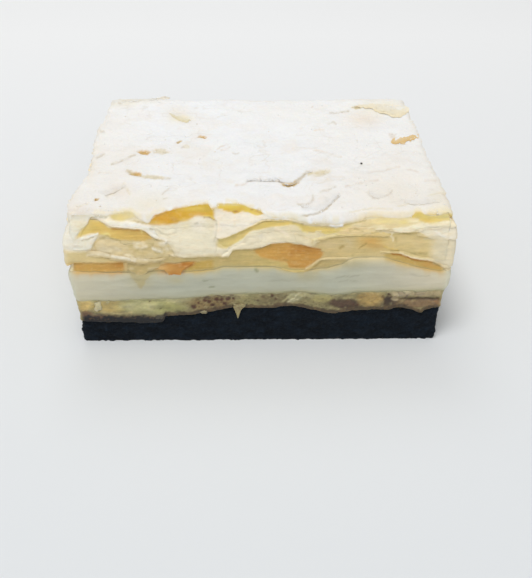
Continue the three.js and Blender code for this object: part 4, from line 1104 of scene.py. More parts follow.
for pts, k2 in [([(336, 278), (343, 276), (351, 276.6), (359, 275.4)], 0.5), ([(340, 281.6), (349, 280.4), (357, 281.4)], 0.4), ([(270, 281), (281, 280.2), (290, 281.4)], 0.3),
                ([(410, 274), (420, 276), (430, 276)], 0.3), ([(120, 279.6), (131, 278.6), (139, 280)], 0.25)]:
    d_, _ = polyline_distance(u + fbm(u / 3, v / 3, 1, 124, 2), v + 0.6 * fbm(u / 3, v / 3, 2, 125, 2), pts)
    fc = paint(fc, lin(146, 142, 118, KC), k2 * bell(d_, 0.7))
wf = (rim.front * (rim.side == 0))[:, None, None]
tint = np.ones(z.shape + (3,)) * side_cream
tint = paint(tint, lin(182, 168, 122, KC), 0.6 * np.exp(-np.clip(zh[:, None] - z, 0, 20) / 0.7))
tint = tint * (1 - wf) + fc * wf
solid_wall(soup, P, tint, low=19, high=28.6)
soup.build("cream_filling", M_CREAM, "cream_layer")

# ---------------------------------------------------------------- pastry lid: the body behind the leaves
rim = Rim(0.24, 0.62, 0.7)
lid_low = cream_top(rim)
n1, n2, n3 = 64, 18, 7
ROLL_R = 3.6
path_w, path_z = [], []                                        # shape of the wall: outwards, and height above its top
for i in range(n1):
    path_w.append(0.0)
    path_z.append(i / (n1 - 1))
for i in range(1, n2 + 1):
    a = i / n2 * math.pi / 2
    path_w.append(-ROLL_R * (1 - math.cos(a)))
    path_z.append(1 + ROLL_R * math.sin(a))
for i in range(1, n3 + 1):
    path_w.append(-ROLL_R - 8.0 * i / n3)
    path_z.append(1 + ROLL_R)
path_w, path_z = np.array(path_w), np.array(path_z)
zs = 43.3 + 0.25 * around(rim, 41, 12, 2)
z = lid_low[:, None] + (zs - lid_low)[:, None] * np.minimum(path_z, 1) + np.maximum(path_z - 1, 0)
flat = sstep(0.4, ROLL_R, -path_w)[None, :]                     # 0 on the wall, 1 on the level part
k = rim.s / rim.length * 2 * math.pi
cx, cy = (np.cos(k) * 66)[:, None], (np.sin(k) * 66)[:, None]
layers = fbm(cx / 9, cy / 9, z / 0.55, 42, 3)
rough = 0.20 * layers + 0.16 * fbm(cx / 2.4, cy / 2.4, z / 1.1, 43, 3)
above = z - lid_low[:, None]
out = bulge(rim, z)
side_depth = -1.5 + 1.2 * bell(above, 1.6) + 1.6 * rough + out
front_on = (rim.side == 0)[:, None] * sstep(0.02, 0.3, rim.front)[:, None]
side_tint = np.ones(z.shape + (3,)) * lin(214, 196, 150, .70)
SHELF_X, SHELF_Z = rim.x[rim.side == 0], zs[rim.side == 0]
g = fbm(cx / 5, cy / 5, z / 1.6, 44, 3)
side_tint = paint(side_tint, GOLD, sstep(0.05, 0.5, g) * 0.9)
side_tint = paint(side_tint, ORANGE, sstep(0.2, 0.6, fbm(cx / 7, cy / 7, z / 2.2, 45, 2)) * 0.6)
side_tint = paint(side_tint, ORANGE, bell(above - 1.0, 1.3) * sstep(-0.3, 0.2, around(rim, 46, 9)[:, None]))
side_tint = paint(side_tint, lin(216, 202, 168, .74), 0.9 * (sstep(-HY + 7, -HY + 3, rim.y)[:, None] + 0 * z))
depth = np.where(front_on > 0, -0.5, side_depth) + 0 * z
cols = np.nonzero(front_on[:, 0] > 0)[0]                         # the front cut takes its colour and relief from the zones
ft = np.zeros(z.shape + (3,))
for turn in range(3):
    P = rim.at(path_w[None, :] + depth * (1 - flat), z + 0.0 * depth)
    u, v = to_frame(P[cols])
    fc_, fd = zones_at(u, v, fine=turn == 2)
    fd = fd + 0.6 * rough[cols] * sstep(0.0, 1.2, above[cols]) * (1 - 0.7 * sstep(312, 330, u) * sstep(234, 238, v))
    fd = fd - 0.10 * bell(above[cols], 0.6) - 0.9 * np.clip((z[cols] - 37.5) / 11.0, 0, 1)
    depth[cols] = side_depth[cols] * (1 - front_on[cols]) + fd * front_on[cols]
    ft[cols] = fc_
ft = ft * (1 + 0.025 * layers[..., None])
foot_w = 0.7 * np.exp(-(np.clip(above, 0, 9) / (0.45 + 0.2 * fbm(cx / 4, cy / 4, 2, 120, 2))) ** 1.5)
ft = paint(ft, lin(182, 172, 136, .84), foot_w)
tint = side_tint * (1 - front_on[..., None]) + ft * front_on[..., None]
P = rim.at(path_w[None, :] + depth * (1 - flat), z + 0.0 * depth)


def under_roll(P, z0, gap):
    """Keeps what belongs to the other sides below the rolled front edge."""
    a_ = np.clip(P[..., 1] - YF - 0.5, 0, ROLL_R)
    cap = z0 + np.sqrt(np.maximum(ROLL_R ** 2 - (ROLL_R - a_) ** 2, 0)) - gap
    P[..., 2] = np.where(P[..., 1] < YF + ROLL_R + 0.5, np.minimum(P[..., 2], cap), P[..., 2])


side_cols = np.nonzero(rim.side != 0)[0]
Ps = P[side_cols]
Ps[..., 2] -= 0.6 * sstep(ROLL_R - 1.5, ROLL_R, -path_w)[None, :]
under_roll(Ps, zs[side_cols][:, None], 0.25)
P[side_cols] = Ps
soup = Soup()
solid_wall(soup, P, tint, low=30, high=46.4)
soup.build("pastry_inside", M_CORE, "pastry_lid")

# ---------------------------------------------------------------- leaves that run round the lid
rim = Rim(1.0, 0.72, 0.72, arc=4)
k = rim.s / rim.length * 2 * math.pi
cx, cy = np.cos(k) * 66, np.sin(k) * 66
lid_low = cream_top(rim)
soup = Soup()
SHEETS = 11
zc = []
for i in range(SHEETS):
    f = (i + 0.6) / SHEETS
    zz = lid_low + (46.3 - lid_low) * f
    zz = zz + 1.5 * fbm(cx / 13, cy / 13, i * 2.3, 51, 2) + 0.45 * fbm(cx / 3.6, cy / 3.6, i * 3.3, 52, 3)
    zc.append(zz)
zc = np.sort(np.array(zc), 0)
for i in range(1, SHEETS):
    zc[i] = np.maximum(zc[i], zc[i - 1] + 0.34)
on_front_side = (rim.side == 0) * sstep(0.3, 0.95, rim.front)
zc = np.minimum(zc, 46.1 - 0.12 * (SHEETS - 1 - np.arange(SHEETS))[:, None])
zc = zc - np.maximum(0, zc - 44.6) * on_front_side
for i in range(SHEETS):
    zz = zc[i]
    e = (0.25 + 0.9 * fbm(cx / 6, cy / 6, i * 7.7, 53, 2) + 0.55 * fbm(cx / 1.4, cy / 1.4, i * 2.9, 54, 2)
         + 0.25 * vn(cx / 0.55, cy / 0.55, i * 1.7, 55))
    e = np.clip(e, -1.3, 0.8) - 0.35 + bulge(rim, zz[:, None])[:, 0]
    e = e - 1.5 * sstep(-HY + 7, -HY + 1.5, rim.y) * (1 - on_front_side)
    e = e * (1 - on_front_side) - 3.0 * on_front_side
    inner = np.minimum(-4.0, e - 1.0)
    ws = inner[:, None] + (e - inner)[:, None] * np.array([0, 0.35, 0.6, 0.8, 0.93, 1.0])[None, :]
    droop = -0.05 * (ws - inner[:, None]) ** 2 * (0.3 + 0.7 * np.abs(fbm(cx / 9, cy / 9, i * 4.1, 57, 2)))[:, None]
    crump = 0.16 * fbm(cx[:, None] / 1.5, cy[:, None] / 1.5, ws / 1.2 + i * 9, 58, 2)
    P = rim.at(ws, zz[:, None] + droop + crump)
    under_roll(P, 43.3, 0.5)
    th = 0.30
    nu, nv = P.shape[:2]
    up_, dn_ = P.copy(), P.copy()
    tap = np.array([1, 1, 1, 1, 0.75, 0.3])[None, :] * th / 2
    up_[..., 2] += tap
    dn_[..., 2] -= tap
    loop = np.concatenate([dn_, up_[:, ::-1]], 1)
    q = grid_quads(nu, 2 * nv, closed=True)
    closing = np.stack([np.arange(nu) * 2 * nv + 2 * nv - 1, np.roll(np.arange(nu), -1) * 2 * nv + 2 * nv - 1,
                        np.roll(np.arange(nu), -1) * 2 * nv, np.arange(nu) * 2 * nv], -1)
    g = fbm(cx[:, None] / 4, cy[:, None] / 4, ws / 3 + i * 5, 59, 3)
    tn = np.ones(P.shape) * lin(226, 212, 178, .78)
    tn = paint(tn, PALE, sstep(0.0, 0.45, g))
    tn = paint(tn, GOLD, sstep(0.12, 0.5, -g) * 0.6)
    tn = paint(tn, ORANGE, sstep(0.25, 0.6, fbm(cx[:, None] / 6, cy[:, None] / 6, ws / 3 + i * 8, 60, 2)) * (0.6 if i < 6 else 0.25))
    tn = paint(tn, PALE, sstep(0.4, 1.4, ws) * 0.6)
    tn = paint(tn, lin(222, 210, 178, .76), 0.85 * (sstep(-HY + 8, -HY + 3, rim.y)[:, None] + 0 * ws))
    tn = np.concatenate([tn, tn[:, ::-1]], 1)
    soup.add(loop.reshape(-1, 3), np.concatenate([q, closing]), tint=tn.reshape(-1, 3),
             sugar=(0.25 * sstep(8, 12, i + 0.0) * np.ones(nu * 2 * nv)))
soup.build("pastry_leaves", M_LEAF)

# ---------------------------------------------------------------- flakes of the front cut
soup = Soup()


def strip(up, lo, du, rows, seed, rag, rag_up, extra=0.0):
    """Frame points between an upper and a lower line with torn edges."""
    u0 = max(up[0][0], lo[0][0])
    u1 = min(up[-1][0], lo[-1][0])
    nu = max(7, int((u1 - u0) / du))
    us = np.linspace(u0, u1, nu)[:, None]
    b = np.linspace(0, 1, rows)[None, :]
    vu = curve(up)(us) + rag_up * fbm(us / 4.0, 0, seed, 61, 3)
    tear = 0.6 * fbm(us / 6.0, 1, seed, 62, 2) + 0.75 * fbm(us / 1.9, 2, seed, 63, 3)
    notch = -1.3 * sstep(0.45, 0.75, vn(us / 3.1, 3, seed, 91))
    vl = curve(lo)(us) + rag * (tear + notch) + extra
    vl = np.maximum(vl, vu + 0.3)
    torn = 1.1 * rag * fbm(vl / 2.3, 7, seed, 134, 3) * sstep(0.3, 1.2, np.abs(np.gradient(vl[:, 0], us[:, 0]))[:, None])
    ends = sstep(u0, u0 + 3, us) * sstep(u1, u1 - 3, us)
    return us + torn * ends * b, vu * (1 - b) + vl * b, us, b, u0, u1


STAND = 0.5


def flake(up, lo, d_up, d_lo, tint, sugar=0.0, du=0.8, rows=14, th=0.14, swell=0.0, crumple=0.2, rag=0.7, rag_up=0.3,
          seed=0, fold=1.0, mottle=0.12, low_tint=None, end=(-0.5, -0.5), under=0.0, lip=0.0, blend=(0.9, 0.9, 0.9), own=0.82):
    """A leaf on the front cut, between an upper and a lower line in the frame. d_up and d_lo: how far they stand out;
    end: how far its two ends sink in; under: how much of a second leaf shows below its torn edge."""
    low_tint = tint if low_tint is None else low_tint
    for second in ((True, False) if under else (False,)):
        u, v, us, b, u0, u1 = strip(up, lo, du, max(5, rows // 2) if second else rows, seed + (40 if second else 0), rag, rag_up,
                                    under if second else 0.0)
        sl, sr = sstep(0, 4.5, u - u0), sstep(0, 4.5, u1 - u)
        d = d_up * (1 - b ** fold) + STAND * d_lo * b ** fold + swell * 4 * b * (1 - b) * sl * sr + lip * sstep(0.75, 1, b)
        d = d + end[0] * (1 - sl) + end[1] * (1 - sr)
        d = d + crumple * (0.7 * fbm(u / 9, v / 6, seed, 64, 2) + 0.18 * fbm(u / 2.6, v / 2.0, seed + 9, 65, 2)) + strokes(u, v)[1]
        d = d + lean(u, v) - (0.32 if second else 0.0)
        P = wrap(on_front(u, v, d))
        turned = sstep(YF + 1.0, YF + 2.6, P[..., 1])
        edges = vn(P[..., 1] / 9, P[..., 2] / 0.62, seed, 131)
        P[..., 0] = P[..., 0] + np.sign(P[..., 0]) * turned * 0.22 * edges
        bt = np.broadcast_to(b, u.shape)[..., None]
        c = np.asarray(tint) * (1 - bt) + np.asarray(low_tint) * bt
        g = fbm(u / 9, v / 5, seed + 3, 66, 3)
        c = c * (1 + 0.05 * g[..., None])
        c = paint(c, lin(222, 200, 150, K_MID), mottle * sstep(0.05, 0.5, fbm(u / 5, v / 3, seed + 5, 68, 3)))
        c = paint(c, lin(236, 228, 208, K_HI), mottle * sstep(0.05, 0.5, -fbm(u / 6, v / 3.4, seed + 7, 69, 3)))
        if second:
            c = paint(c, lin(206, 186, 136, K_MID), 0.5)
        else:
            # painted highlight along the torn lower edge of the leaf
            c = paint(c, lin(238, 228, 204, K_HI), 0.25 * np.broadcast_to(sstep(0.9, 1.0, b), u.shape))
        behind, _ = zones_at(u, v)
        behind = paint(behind, lin(200, 174, 118, K_LOW), 0.75 * turned * sstep(0.05, 0.45, -edges))
        behind = paint(behind, lin(240, 234, 216, K_HI), 0.6 * turned * sstep(0.1, 0.5, edges))
        w = np.maximum((1 - sstep(0.0, 0.16, b)) * blend[0] + 0 * u, np.maximum((1 - sl) * blend[1], (1 - sr) * blend[2]))
        w = np.maximum(w, own)
        c = c * (1 - w[..., None]) + behind * w[..., None]
        s_hi, s_lo = sugar if isinstance(sugar, tuple) else (sugar, sugar)
        sg = np.clip((s_hi * (1 - b) + s_lo * b) * (1 + 0.5 * g), 0, 1) * (0.4 if second else 1.0)
        leaf(soup, P[:, ::-1], th, c[:, ::-1], sg[:, ::-1])


def hi(r, g, b):
    return lin(r, g, b, K_HI)


def mid(r, g, b):
    return lin(r, g, b, K_MID)


def low(r, g, b):
    return lin(r, g, b, K_LOW)


# sheets that lie furthest in come first
flake([(48, 249), (80, 250), (93, 251), (110, 257), (127, 260)], [(48, 267.5), (62, 267.5), (69, 265.5), (75, 263.2), (95, 262.5), (110, 262.5), (127, 262.5)],
      -0.15, 0.25, low(208, 192, 150), seed=1, rows=9, crumple=0.15, end=(0, -0.4), low_tint=low(204, 186, 136), rag=0.5, under=0)
flake([(92, 236), (100, 236), (107, 234), (113, 237), (122, 240), (140, 240.5), (150, 239.5), (160, 241), (172, 247)],
      [(86, 254), (92, 255), (100, 256), (110, 257), (120, 259), (130, 260), (145, 260), (155, 259), (172, 258)],
      -0.45, 0.1, mid(209, 189, 148), seed=2, rows=20, crumple=0.5, mottle=0.5, rag=0.9, swell=0.15, low_tint=mid(205, 188, 146))
flake([(85, 253.5), (92, 251), (100, 251.5), (108, 253.5), (115, 255), (124, 255.5), (132, 257), (138, 259), (150, 259.2), (166, 257)],
      [(85, 255.5), (92, 257), (100, 258), (110, 260), (120, 261.5), (130, 262.5), (138, 264), (150, 263), (166, 260)],
      0.2, 0.6, mid(224, 212, 188), seed=3, rows=8, crumple=0.3, rag=0.9, mottle=0.2, under=0.9)
flake([(112, 256), (120, 255.8), (128, 257.4), (134, 259)], [(112, 258), (120, 259.5), (128, 260.5), (134, 261)],
      0.5, 0.8, mid(232, 224, 208), seed=33, rows=5, crumple=0.2, rag=0.5, du=0.6, under=0)
flake([(46, 213.4), (62, 213.6), (75, 213.6), (84, 214), (92, 215.5)], [(46, 250.5), (70, 251), (76, 247), (80, 237), (85, 228), (92, 217.5)],
      -0.9, -0.2, lin(233, 228, 213, .81), (0.2, 0.0), seed=4, fold=0.45, rows=22, crumple=0.3, swell=0.2, own=0.95, end=(0.0, -0.5), low_tint=hi(226, 219, 198))
flake([(88, 215), (100, 215.4), (107, 216.8), (112, 220), (125, 220.7), (134, 221), (142, 222.2), (148, 223.4), (153, 226), (158, 231), (164, 236)],
      [(88, 216.5), (96, 219), (102, 221.5), (107, 224.5), (112, 226.5), (125, 228), (133, 228.7), (141, 229.5), (146, 232), (152, 236.5), (157, 239), (164, 240.5)],
      -0.2, 0.75, lin(239, 233, 219, .97), 0.08, seed=6, rows=12, crumple=0.2, rag=0.4, under=0.5, low_tint=lin(235, 227, 208, .95))
flake([(124, 262), (135, 262), (145, 261.5), (162, 260)], [(124, 265.5), (129, 269.5), (134, 273), (140, 277.5), (145, 274.5), (151, 270.5), (162, 266)],
      -0.25, 0.1, low(177, 156, 106), seed=7, rows=16, crumple=0.2, rag=1.1, mottle=0.2, low_tint=low(168, 152, 106), end=(-0.1, -0.4), own=0.3)
flake([(122, 261.5), (126, 261.5), (130, 262)], [(122, 267), (126, 271), (130, 270)], 0.1, 0.4, low(212, 180, 130), seed=36, rows=6, crumple=0.1, du=0.5, under=0)
flake([(156, 267), (165, 265), (175, 263.6), (186, 262), (195, 261)], [(156, 268.6), (164, 271), (169, 275), (174, 278), (180, 277), (182, 271.4), (187, 267), (195, 262.6)],
      -0.15, 0.5, low(188, 136, 70), seed=8, rows=12, crumple=0.2, rag=0.8, mottle=0.0, low_tint=low(178, 122, 56), own=0.9)
flake([(214, 237), (219, 242.5), (225, 247), (230, 247), (238, 241.5), (245, 237), (255, 231), (268, 228), (280, 226), (290, 224), (296, 224.2), (300, 227), (304, 231), (312, 234), (322, 238)],
      [(214, 256), (222, 257.8), (228, 257.8), (230, 254.5), (234, 250.5), (242, 249.5), (250, 249), (256, 247.8), (264, 245.6), (270, 243.2), (275, 241.8), (290, 241.8), (300, 243.2), (304, 244.7), (309, 246.8), (314, 245.2), (322, 240.5)],
      -0.35, 0.45, hi(227, 218, 192), seed=9, rows=20, crumple=0.3, swell=0.2, rag=0.5, low_tint=hi(222, 210, 180), end=(-0.2, -0.5))
flake([(292, 232), (300, 236), (308, 239), (318, 240)], [(292, 240), (300, 243), (309, 246.5), (318, 243)],
      0.3, 0.6, mid(220, 206, 172), seed=37, rows=7, crumple=0.25, rag=0.5, du=0.6, under=0)
flake([(151, 224), (160, 224), (170, 224), (180, 222), (188, 220), (193, 217.5), (203, 215.5), (209, 215.5), (214, 219), (219, 226)],
      [(151, 227), (158, 237), (163, 241), (167, 244), (172, 249), (175, 254.5), (183, 257.3), (192, 257.5), (200, 256.5), (210, 257), (219, 256)],
      -0.25, 0.45, hi(231, 223, 200), seed=10, rows=28, crumple=0.22, swell=0.3, rag=1.1, fold=0.8, low_tint=hi(223, 211, 184), end=(-0.5, -0.35), under=0.9)
flake([(170, 246), (178, 250), (190, 252), (206, 253)], [(170, 252), (178, 256.5), (190, 257.8), (206, 257)],
      0.45, 0.6, hi(222, 210, 184), seed=40, rows=6, crumple=0.15, rag=0.6, under=0)
flake([(214, 212), (218, 210.8), (222, 209.8), (231, 212.2), (234.5, 214.5), (238, 212.2), (244, 212.2), (250, 213.7), (258, 215.2), (266, 216), (275, 218), (288, 220.5)],
      [(214, 236), (221, 239), (225, 238), (231, 235.3), (238, 232.3), (248, 228.3), (257, 224.3), (265, 221.3), (275, 221), (288, 221.5)],
      -0.2, 0.75, lin(238, 230, 212, .90), (0.1, 0.0), seed=11, rows=20, crumple=0.25, rag=0.4, low_tint=hi(233, 223, 200), end=(0.0, -0.3))
flake([(300, 229), (304, 231), (312, 232), (320, 232.5), (335, 233), (345, 231), (352, 229.5), (360, 229), (375, 228.7), (392, 229.5)],
      [(300, 231), (306, 238), (314, 241), (322, 240), (335, 237), (345, 236.3), (355, 236), (370, 236.3), (382, 236.8), (392, 236)],
      -0.3, 0.05, mid(214, 192, 142), seed=12, rows=10, crumple=0.2, rag=0.5, mottle=0.1, low_tint=hi(220, 200, 152))
flake([(343, 226), (355, 223), (362, 221), (372, 218.3), (380, 218.3), (390, 219.6), (400, 220), (413, 217.8), (418, 221), (427, 223)],
      [(343, 229), (355, 230), (365, 230), (378, 230.5), (390, 230.5), (400, 231), (410, 230), (418, 228), (427, 225.5)],
      -0.5, 0.1, hi(228, 209, 160), seed=13, rows=12, crumple=0.25, rag=0.5, mottle=0.2, low_tint=hi(231, 215, 172))
flake([(374, 228), (390, 227.8), (402, 228.8), (412, 227.8), (420, 226.3), (428, 223.8), (434, 225), (445, 221.3), (452, 220.3), (472, 219.8)],
      [(374, 229.5), (390, 230.9), (402, 232.8), (412, 233), (420, 231.5), (428, 228.7), (436, 229.3), (447, 228.3), (472, 228)],
      0.1, 0.55, lin(230, 218, 186, .92), 0.0, seed=14, rows=9, crumple=0.2, rag=0.4, end=(-0.4, 0))
flake([(416, 231), (430, 228.5), (440, 228.5), (472, 227.5)], [(416, 235), (432, 238.5), (445, 240), (472, 239)],
      0.0, 0.45, hi(224, 213, 184), seed=15, rows=9, crumple=0.25, end=(-0.4, 0), low_tint=mid(216, 205, 178))
flake([(378, 250.5), (390, 250.5), (402, 251), (410, 253), (420, 256), (430, 257.5), (441, 262), (452, 267.3)],
      [(378, 252.5), (390, 253), (402, 254), (410, 257), (420, 260), (430, 261), (441, 266), (452, 270)],
      -0.05, 0.2, mid(222, 206, 162), seed=19, rows=7, crumple=0.2, rag=0.5, under=0)
flake([(278, 267), (286, 269), (295, 270.3), (303, 269.8), (310, 266.3), (314, 262.3), (318, 259.4), (325, 257.4), (335, 256.8), (350, 257.3)],
      [(278, 268.7), (286, 270.8), (295, 272.3), (303, 272.3), (311, 269), (316, 264.5), (320, 261.3), (327, 259.9), (336, 259.7), (350, 259.5)],
      -0.15, 0.1, low(204, 184, 128), seed=20, rows=6, crumple=0.15, rag=0.4, under=0)
flake([(152, 241), (160, 240), (168, 244), (177, 251)], [(152, 247), (158, 251), (166, 253.5), (177, 258)],
      -0.1, 0.5, mid(224, 210, 178), seed=22, rows=9, crumple=0.4, rag=1.1, mottle=0.3)
flake([(151, 246), (157, 247), (165, 249)], [(151, 249), (158, 253), (165, 252)], 0.25, 0.6, mid(232, 222, 202), seed=24, rows=6, crumple=0.3, rag=0.9, du=0.6, under=0.5)
flake([(438, 237), (446, 238), (456, 238), (472, 237)], [(438, 260), (441, 262), (446, 264.5), (453, 268), (472, 268)],
      -0.35, 0.15, mid(215, 204, 176), seed=16, rows=18, crumple=0.25, end=(-0.9, 0), low_tint=mid(211, 202, 178), own=0.95)
soup.build("front_flakes", M_LEAF)

# ---------------------------------------------------------------- the sugared top leaf
EDGE = [(62, 218.5), (70, 219), (80, 218), (88, 216.8), (92, 216), (99, 215.8), (107, 217), (112, 216), (120, 214), (130, 212.7),
        (135, 216), (138, 220.6), (142, 222), (147, 223.4), (150, 222.3), (152, 219), (154.5, 216.3), (160, 214),
        (170, 211), (180, 209), (190, 207), (200, 205.2), (208, 205), (211.5, 209.5), (214, 208.8), (219, 205),
        (226, 204), (236, 204.8), (243, 206), (250, 208.7), (257, 210.4), (264, 214), (268, 219), (275, 220.6),
        (291, 220.3), (296, 222), (303, 223.3), (320, 225.6), (337, 225.6), (350, 223.7), (362, 220.7), (371, 217.5),
        (380, 217.6), (390, 219), (400, 219.6), (409, 218.3), (413, 216.6), (415.5, 213.3), (419, 212.8), (425, 215),
        (438, 216), (444, 214.5), (449, 213.3), (453, 214), (459, 215.5)]


def top_height(x, y):
    z = TOP + 0.42 * fbm(x / 17, y / 15, 0, 71, 3) + 0.13 * fbm(x / 4.5, y / 4.5, 0, 72, 3)
    z = z * (1 - 0.7 * bell(y + 46, 7)) + (TOP + 0.1) * 0.7 * bell(y + 46, 7)
    z = z + 0.9 * bell(x - 44, 13) * bell(y - 44, 6) + 0.7 * bell(x + 46, 14) * bell(y - 46, 5)
    return z


def roll_point(x, s_):
    """Point and outward normal s_ mm up the rolled front edge of the lid; 0 is where the cut starts to roll."""
    z0 = np.interp(x, SHELF_X, SHELF_Z)
    a_ = np.clip(s_ / ROLL_R, 0, math.pi / 2)
    over = np.maximum(0, s_ - ROLL_R * math.pi / 2)
    back_ = ROLL_R * (1 - np.cos(a_)) + over
    z_ = z0 + ROLL_R * np.sin(a_) + np.minimum(s_, 0)
    y_ = YF + back_ + (0.30 + 0.9 * np.clip((z_ - 37.5) / 11.0, 0, 1)) * (1 - sstep(0.4, ROLL_R, back_))
    xx = np.clip(np.abs(x) - (HX - CORNER), 0, CORNER * 0.98)
    y_ = y_ + CORNER - np.sqrt(CORNER ** 2 - xx ** 2)
    return np.stack([x + 0 * y_, y_, z_], -1), np.stack([0 * y_, -np.cos(a_), np.sin(a_)], -1)


NXT, NYT = 306, 236
e = np.array(EDGE)
fe = curve([tuple(p) for p in EDGE])
us = np.linspace(e[0, 0], e[-1, 0], 1400)
vs = fe(us) + 0.35 * fbm(us / 2.4, 0, 0, 73, 3)
dr = ray(us, vs)
s_lo, s_hi = np.full(len(us), -6.0), np.full(len(us), 30.0)
for _ in range(34):                                            # where the line of sight meets the rolled edge
    s_m = (s_lo + s_hi) / 2
    y_m = roll_point(np.zeros(len(us)), s_m)[0][:, 1]
    t_m = (y_m - CAM[1]) / dr[:, 1]
    x_m = CAM[0] + t_m * dr[:, 0]
    above_ = roll_point(x_m, s_m)[0][:, 2] > CAM[2] + t_m * dr[:, 2]
    s_hi, s_lo = np.where(above_, s_m, s_hi), np.where(above_, s_lo, s_m)
a = np.linspace(0, 1, NXT)
xcol = -58.9 + 117.8 * a
order = np.argsort(x_m)
s_edge = np.interp(xcol, x_m[order], s_m[order]) - 0.35
ragL = 0.7 * fbm(np.linspace(0, 60, 600), 0, 0, 74, 3)
ragR = 0.6 * fbm(np.linspace(0, 60, 600), 0, 0, 75, 3)
ragB = 0.7 * fbm(np.linspace(0, 80, 600), 0, 0, 76, 3)
ys = np.linspace(-HY, HY, 600)
left_edge = curve([(-49, -59.0), (-38, -59.9), (-31, -59.2), (-24, -58.2), (-17.3, -57.2), (-7, -58.0), (1, -58.7), (8, -59.3), (18, -59.5), (34, -58.9), (49, -58.4)])
xl = left_edge(ys) + ragL
xr = 59.3 + ragR - 0.6 * bell(ys + 9, 8)
yb = 49.0 + np.interp(np.linspace(0, 599, NXT), np.arange(600), ragB)
YIN = -37.0
rows_front = 44
S_IN = ROLL_R * math.pi / 2 + (YIN - YF - ROLL_R)
P = np.zeros((NXT, NYT, 3))
rise_s = np.zeros((NXT, NYT))
for j in range(NYT):
    if j <= rows_front:
        q = j / rows_front
        s_j = s_edge + (S_IN - s_edge) * q ** 1.5
        B_, N_ = roll_point(xcol, s_j)
        c_z = top_height(xcol, np.minimum(B_[:, 1], YIN))
        lift = -0.16 + (c_z - np.interp(xcol, SHELF_X, SHELF_Z) - ROLL_R + 0.16) * (1 - np.exp(-(s_j - s_edge) / 1.4))
        B_ = B_ + N_ * lift[:, None]
        y_, z_ = B_[:, 1], B_[:, 2]
        rise_s[:, j] = s_j - s_edge - 0.35
    else:
        q = (j - rows_front) / (NYT - 1 - rows_front)
        y_ = YIN + (yb - YIN) * q
        z_ = top_height(xcol, y_)
        rise_s[:, j] = S_IN - s_edge + y_ - YIN
    tside = np.interp(y_, ys, xl), np.interp(y_, ys, xr)
    x_ = tside[0] + (tside[1] - tside[0]) * a
    if j <= rows_front:                                        # the front edge keeps its own x
        wq = sstep(0, 1, j / rows_front)
        x_ = xcol * (1 - wq) + x_ * wq
    P[:, j, 0], P[:, j, 1], P[:, j, 2] = x_, y_, z_
# rounded, slightly drooping rims at the other three sides
dl = np.minimum(P[..., 0] - P[0, :, 0][None], P[-1, :, 0][None] - P[..., 0])
db = P[:, -1, 1][:, None] - P[..., 1]
P[..., 2] -= (0.9 + 0.5 * fbm(P[..., 1] / 5, P[..., 0] / 5, 0, 77, 2)) * np.exp(-dl / 0.9)
P[..., 2] -= (0.9 + 0.5 * fbm(P[..., 0] / 5, 0, 0, 78, 2)) * np.exp(-db / 0.9)
u, v = to_frame(P)
n = normals(P)
h = np.zeros(u.shape)


def top(r, g, b):
    return lin(r, g, b, K_TOP)


uw = u + 1.2 * fbm(u / 7, v / 5, 0, 101, 3)
vw = v + 0.9 * fbm(u / 7, v / 5, 3, 102, 3)
tint = np.ones(P.shape) * top(240, 240, 239)
# where the dusting is thinner the crust below warms it; the blush just below the curled leaf at the back right is
# painted shade: centre, radii, colour, strength
WARM_AND_SHADE = [(108, 150, 44, 62, "dust", 0.85), (95, 205, 46, 20, "dust", 0.9), (150, 205, 22, 12, "linen", 0.7),
        (118, 190, 13, 8, "blush", 0.7), (200, 150, 34, 26, "snow", 0.7), (280, 112, 60, 16, "dust", 0.8),
        (340, 130, 40, 24, "dust", 0.8), (400, 160, 40, 30, "dust", 0.8), (392, 196, 44, 22, "milk", 0.85),
        (446, 200, 16, 16, "linen", 0.9), (440, 212, 18, 5, "butter", 0.8), (330, 200, 26, 14, "dust", 0.7),
        (396, 216, 40, 5, "peach", 0.8), (364, 119, 17, 8, "blush", 0.95), (383, 106, 28, 10, "linen", 0.8),
        (124, 101, 15, 6, "linen", 0.9), (150, 99, 16, 4, "milk", 0.8), (178, 113, 13, 8, "milk", 0.9),
        (182, 119, 10, 3.4, "butter", 0.95), (118, 214, 20, 4, "butter", 0.8),
        (408, 126, 14, 8, "dust", 0.6), (80, 213, 10, 3, "haze", 0.85), (90, 156, 6, 30, "milk", 0.7), (76, 212, 12, 8, "blush", 0.7)]
for a0, b0, ra, rb, c3, k2 in WARM_AND_SHADE:
    tint = paint(tint, top(*SHADES[c3]), k2 * bell(np.hypot((uw - a0) / ra, (vw - b0) / rb), 1.0))
patchy = fbm(P[..., 0] / 11, P[..., 1] / 10, 0, 84, 4)
tint = paint(tint, top(239, 234, 227), 0.55 * sstep(0.0, 0.45, patchy))
tint = paint(tint, top(236, 230, 220), 0.35 * sstep(0.15, 0.5, fbm(P[..., 0] / 3.2, P[..., 1] / 3.2, 5, 103, 3)) * sstep(-0.2, 0.3, patchy))
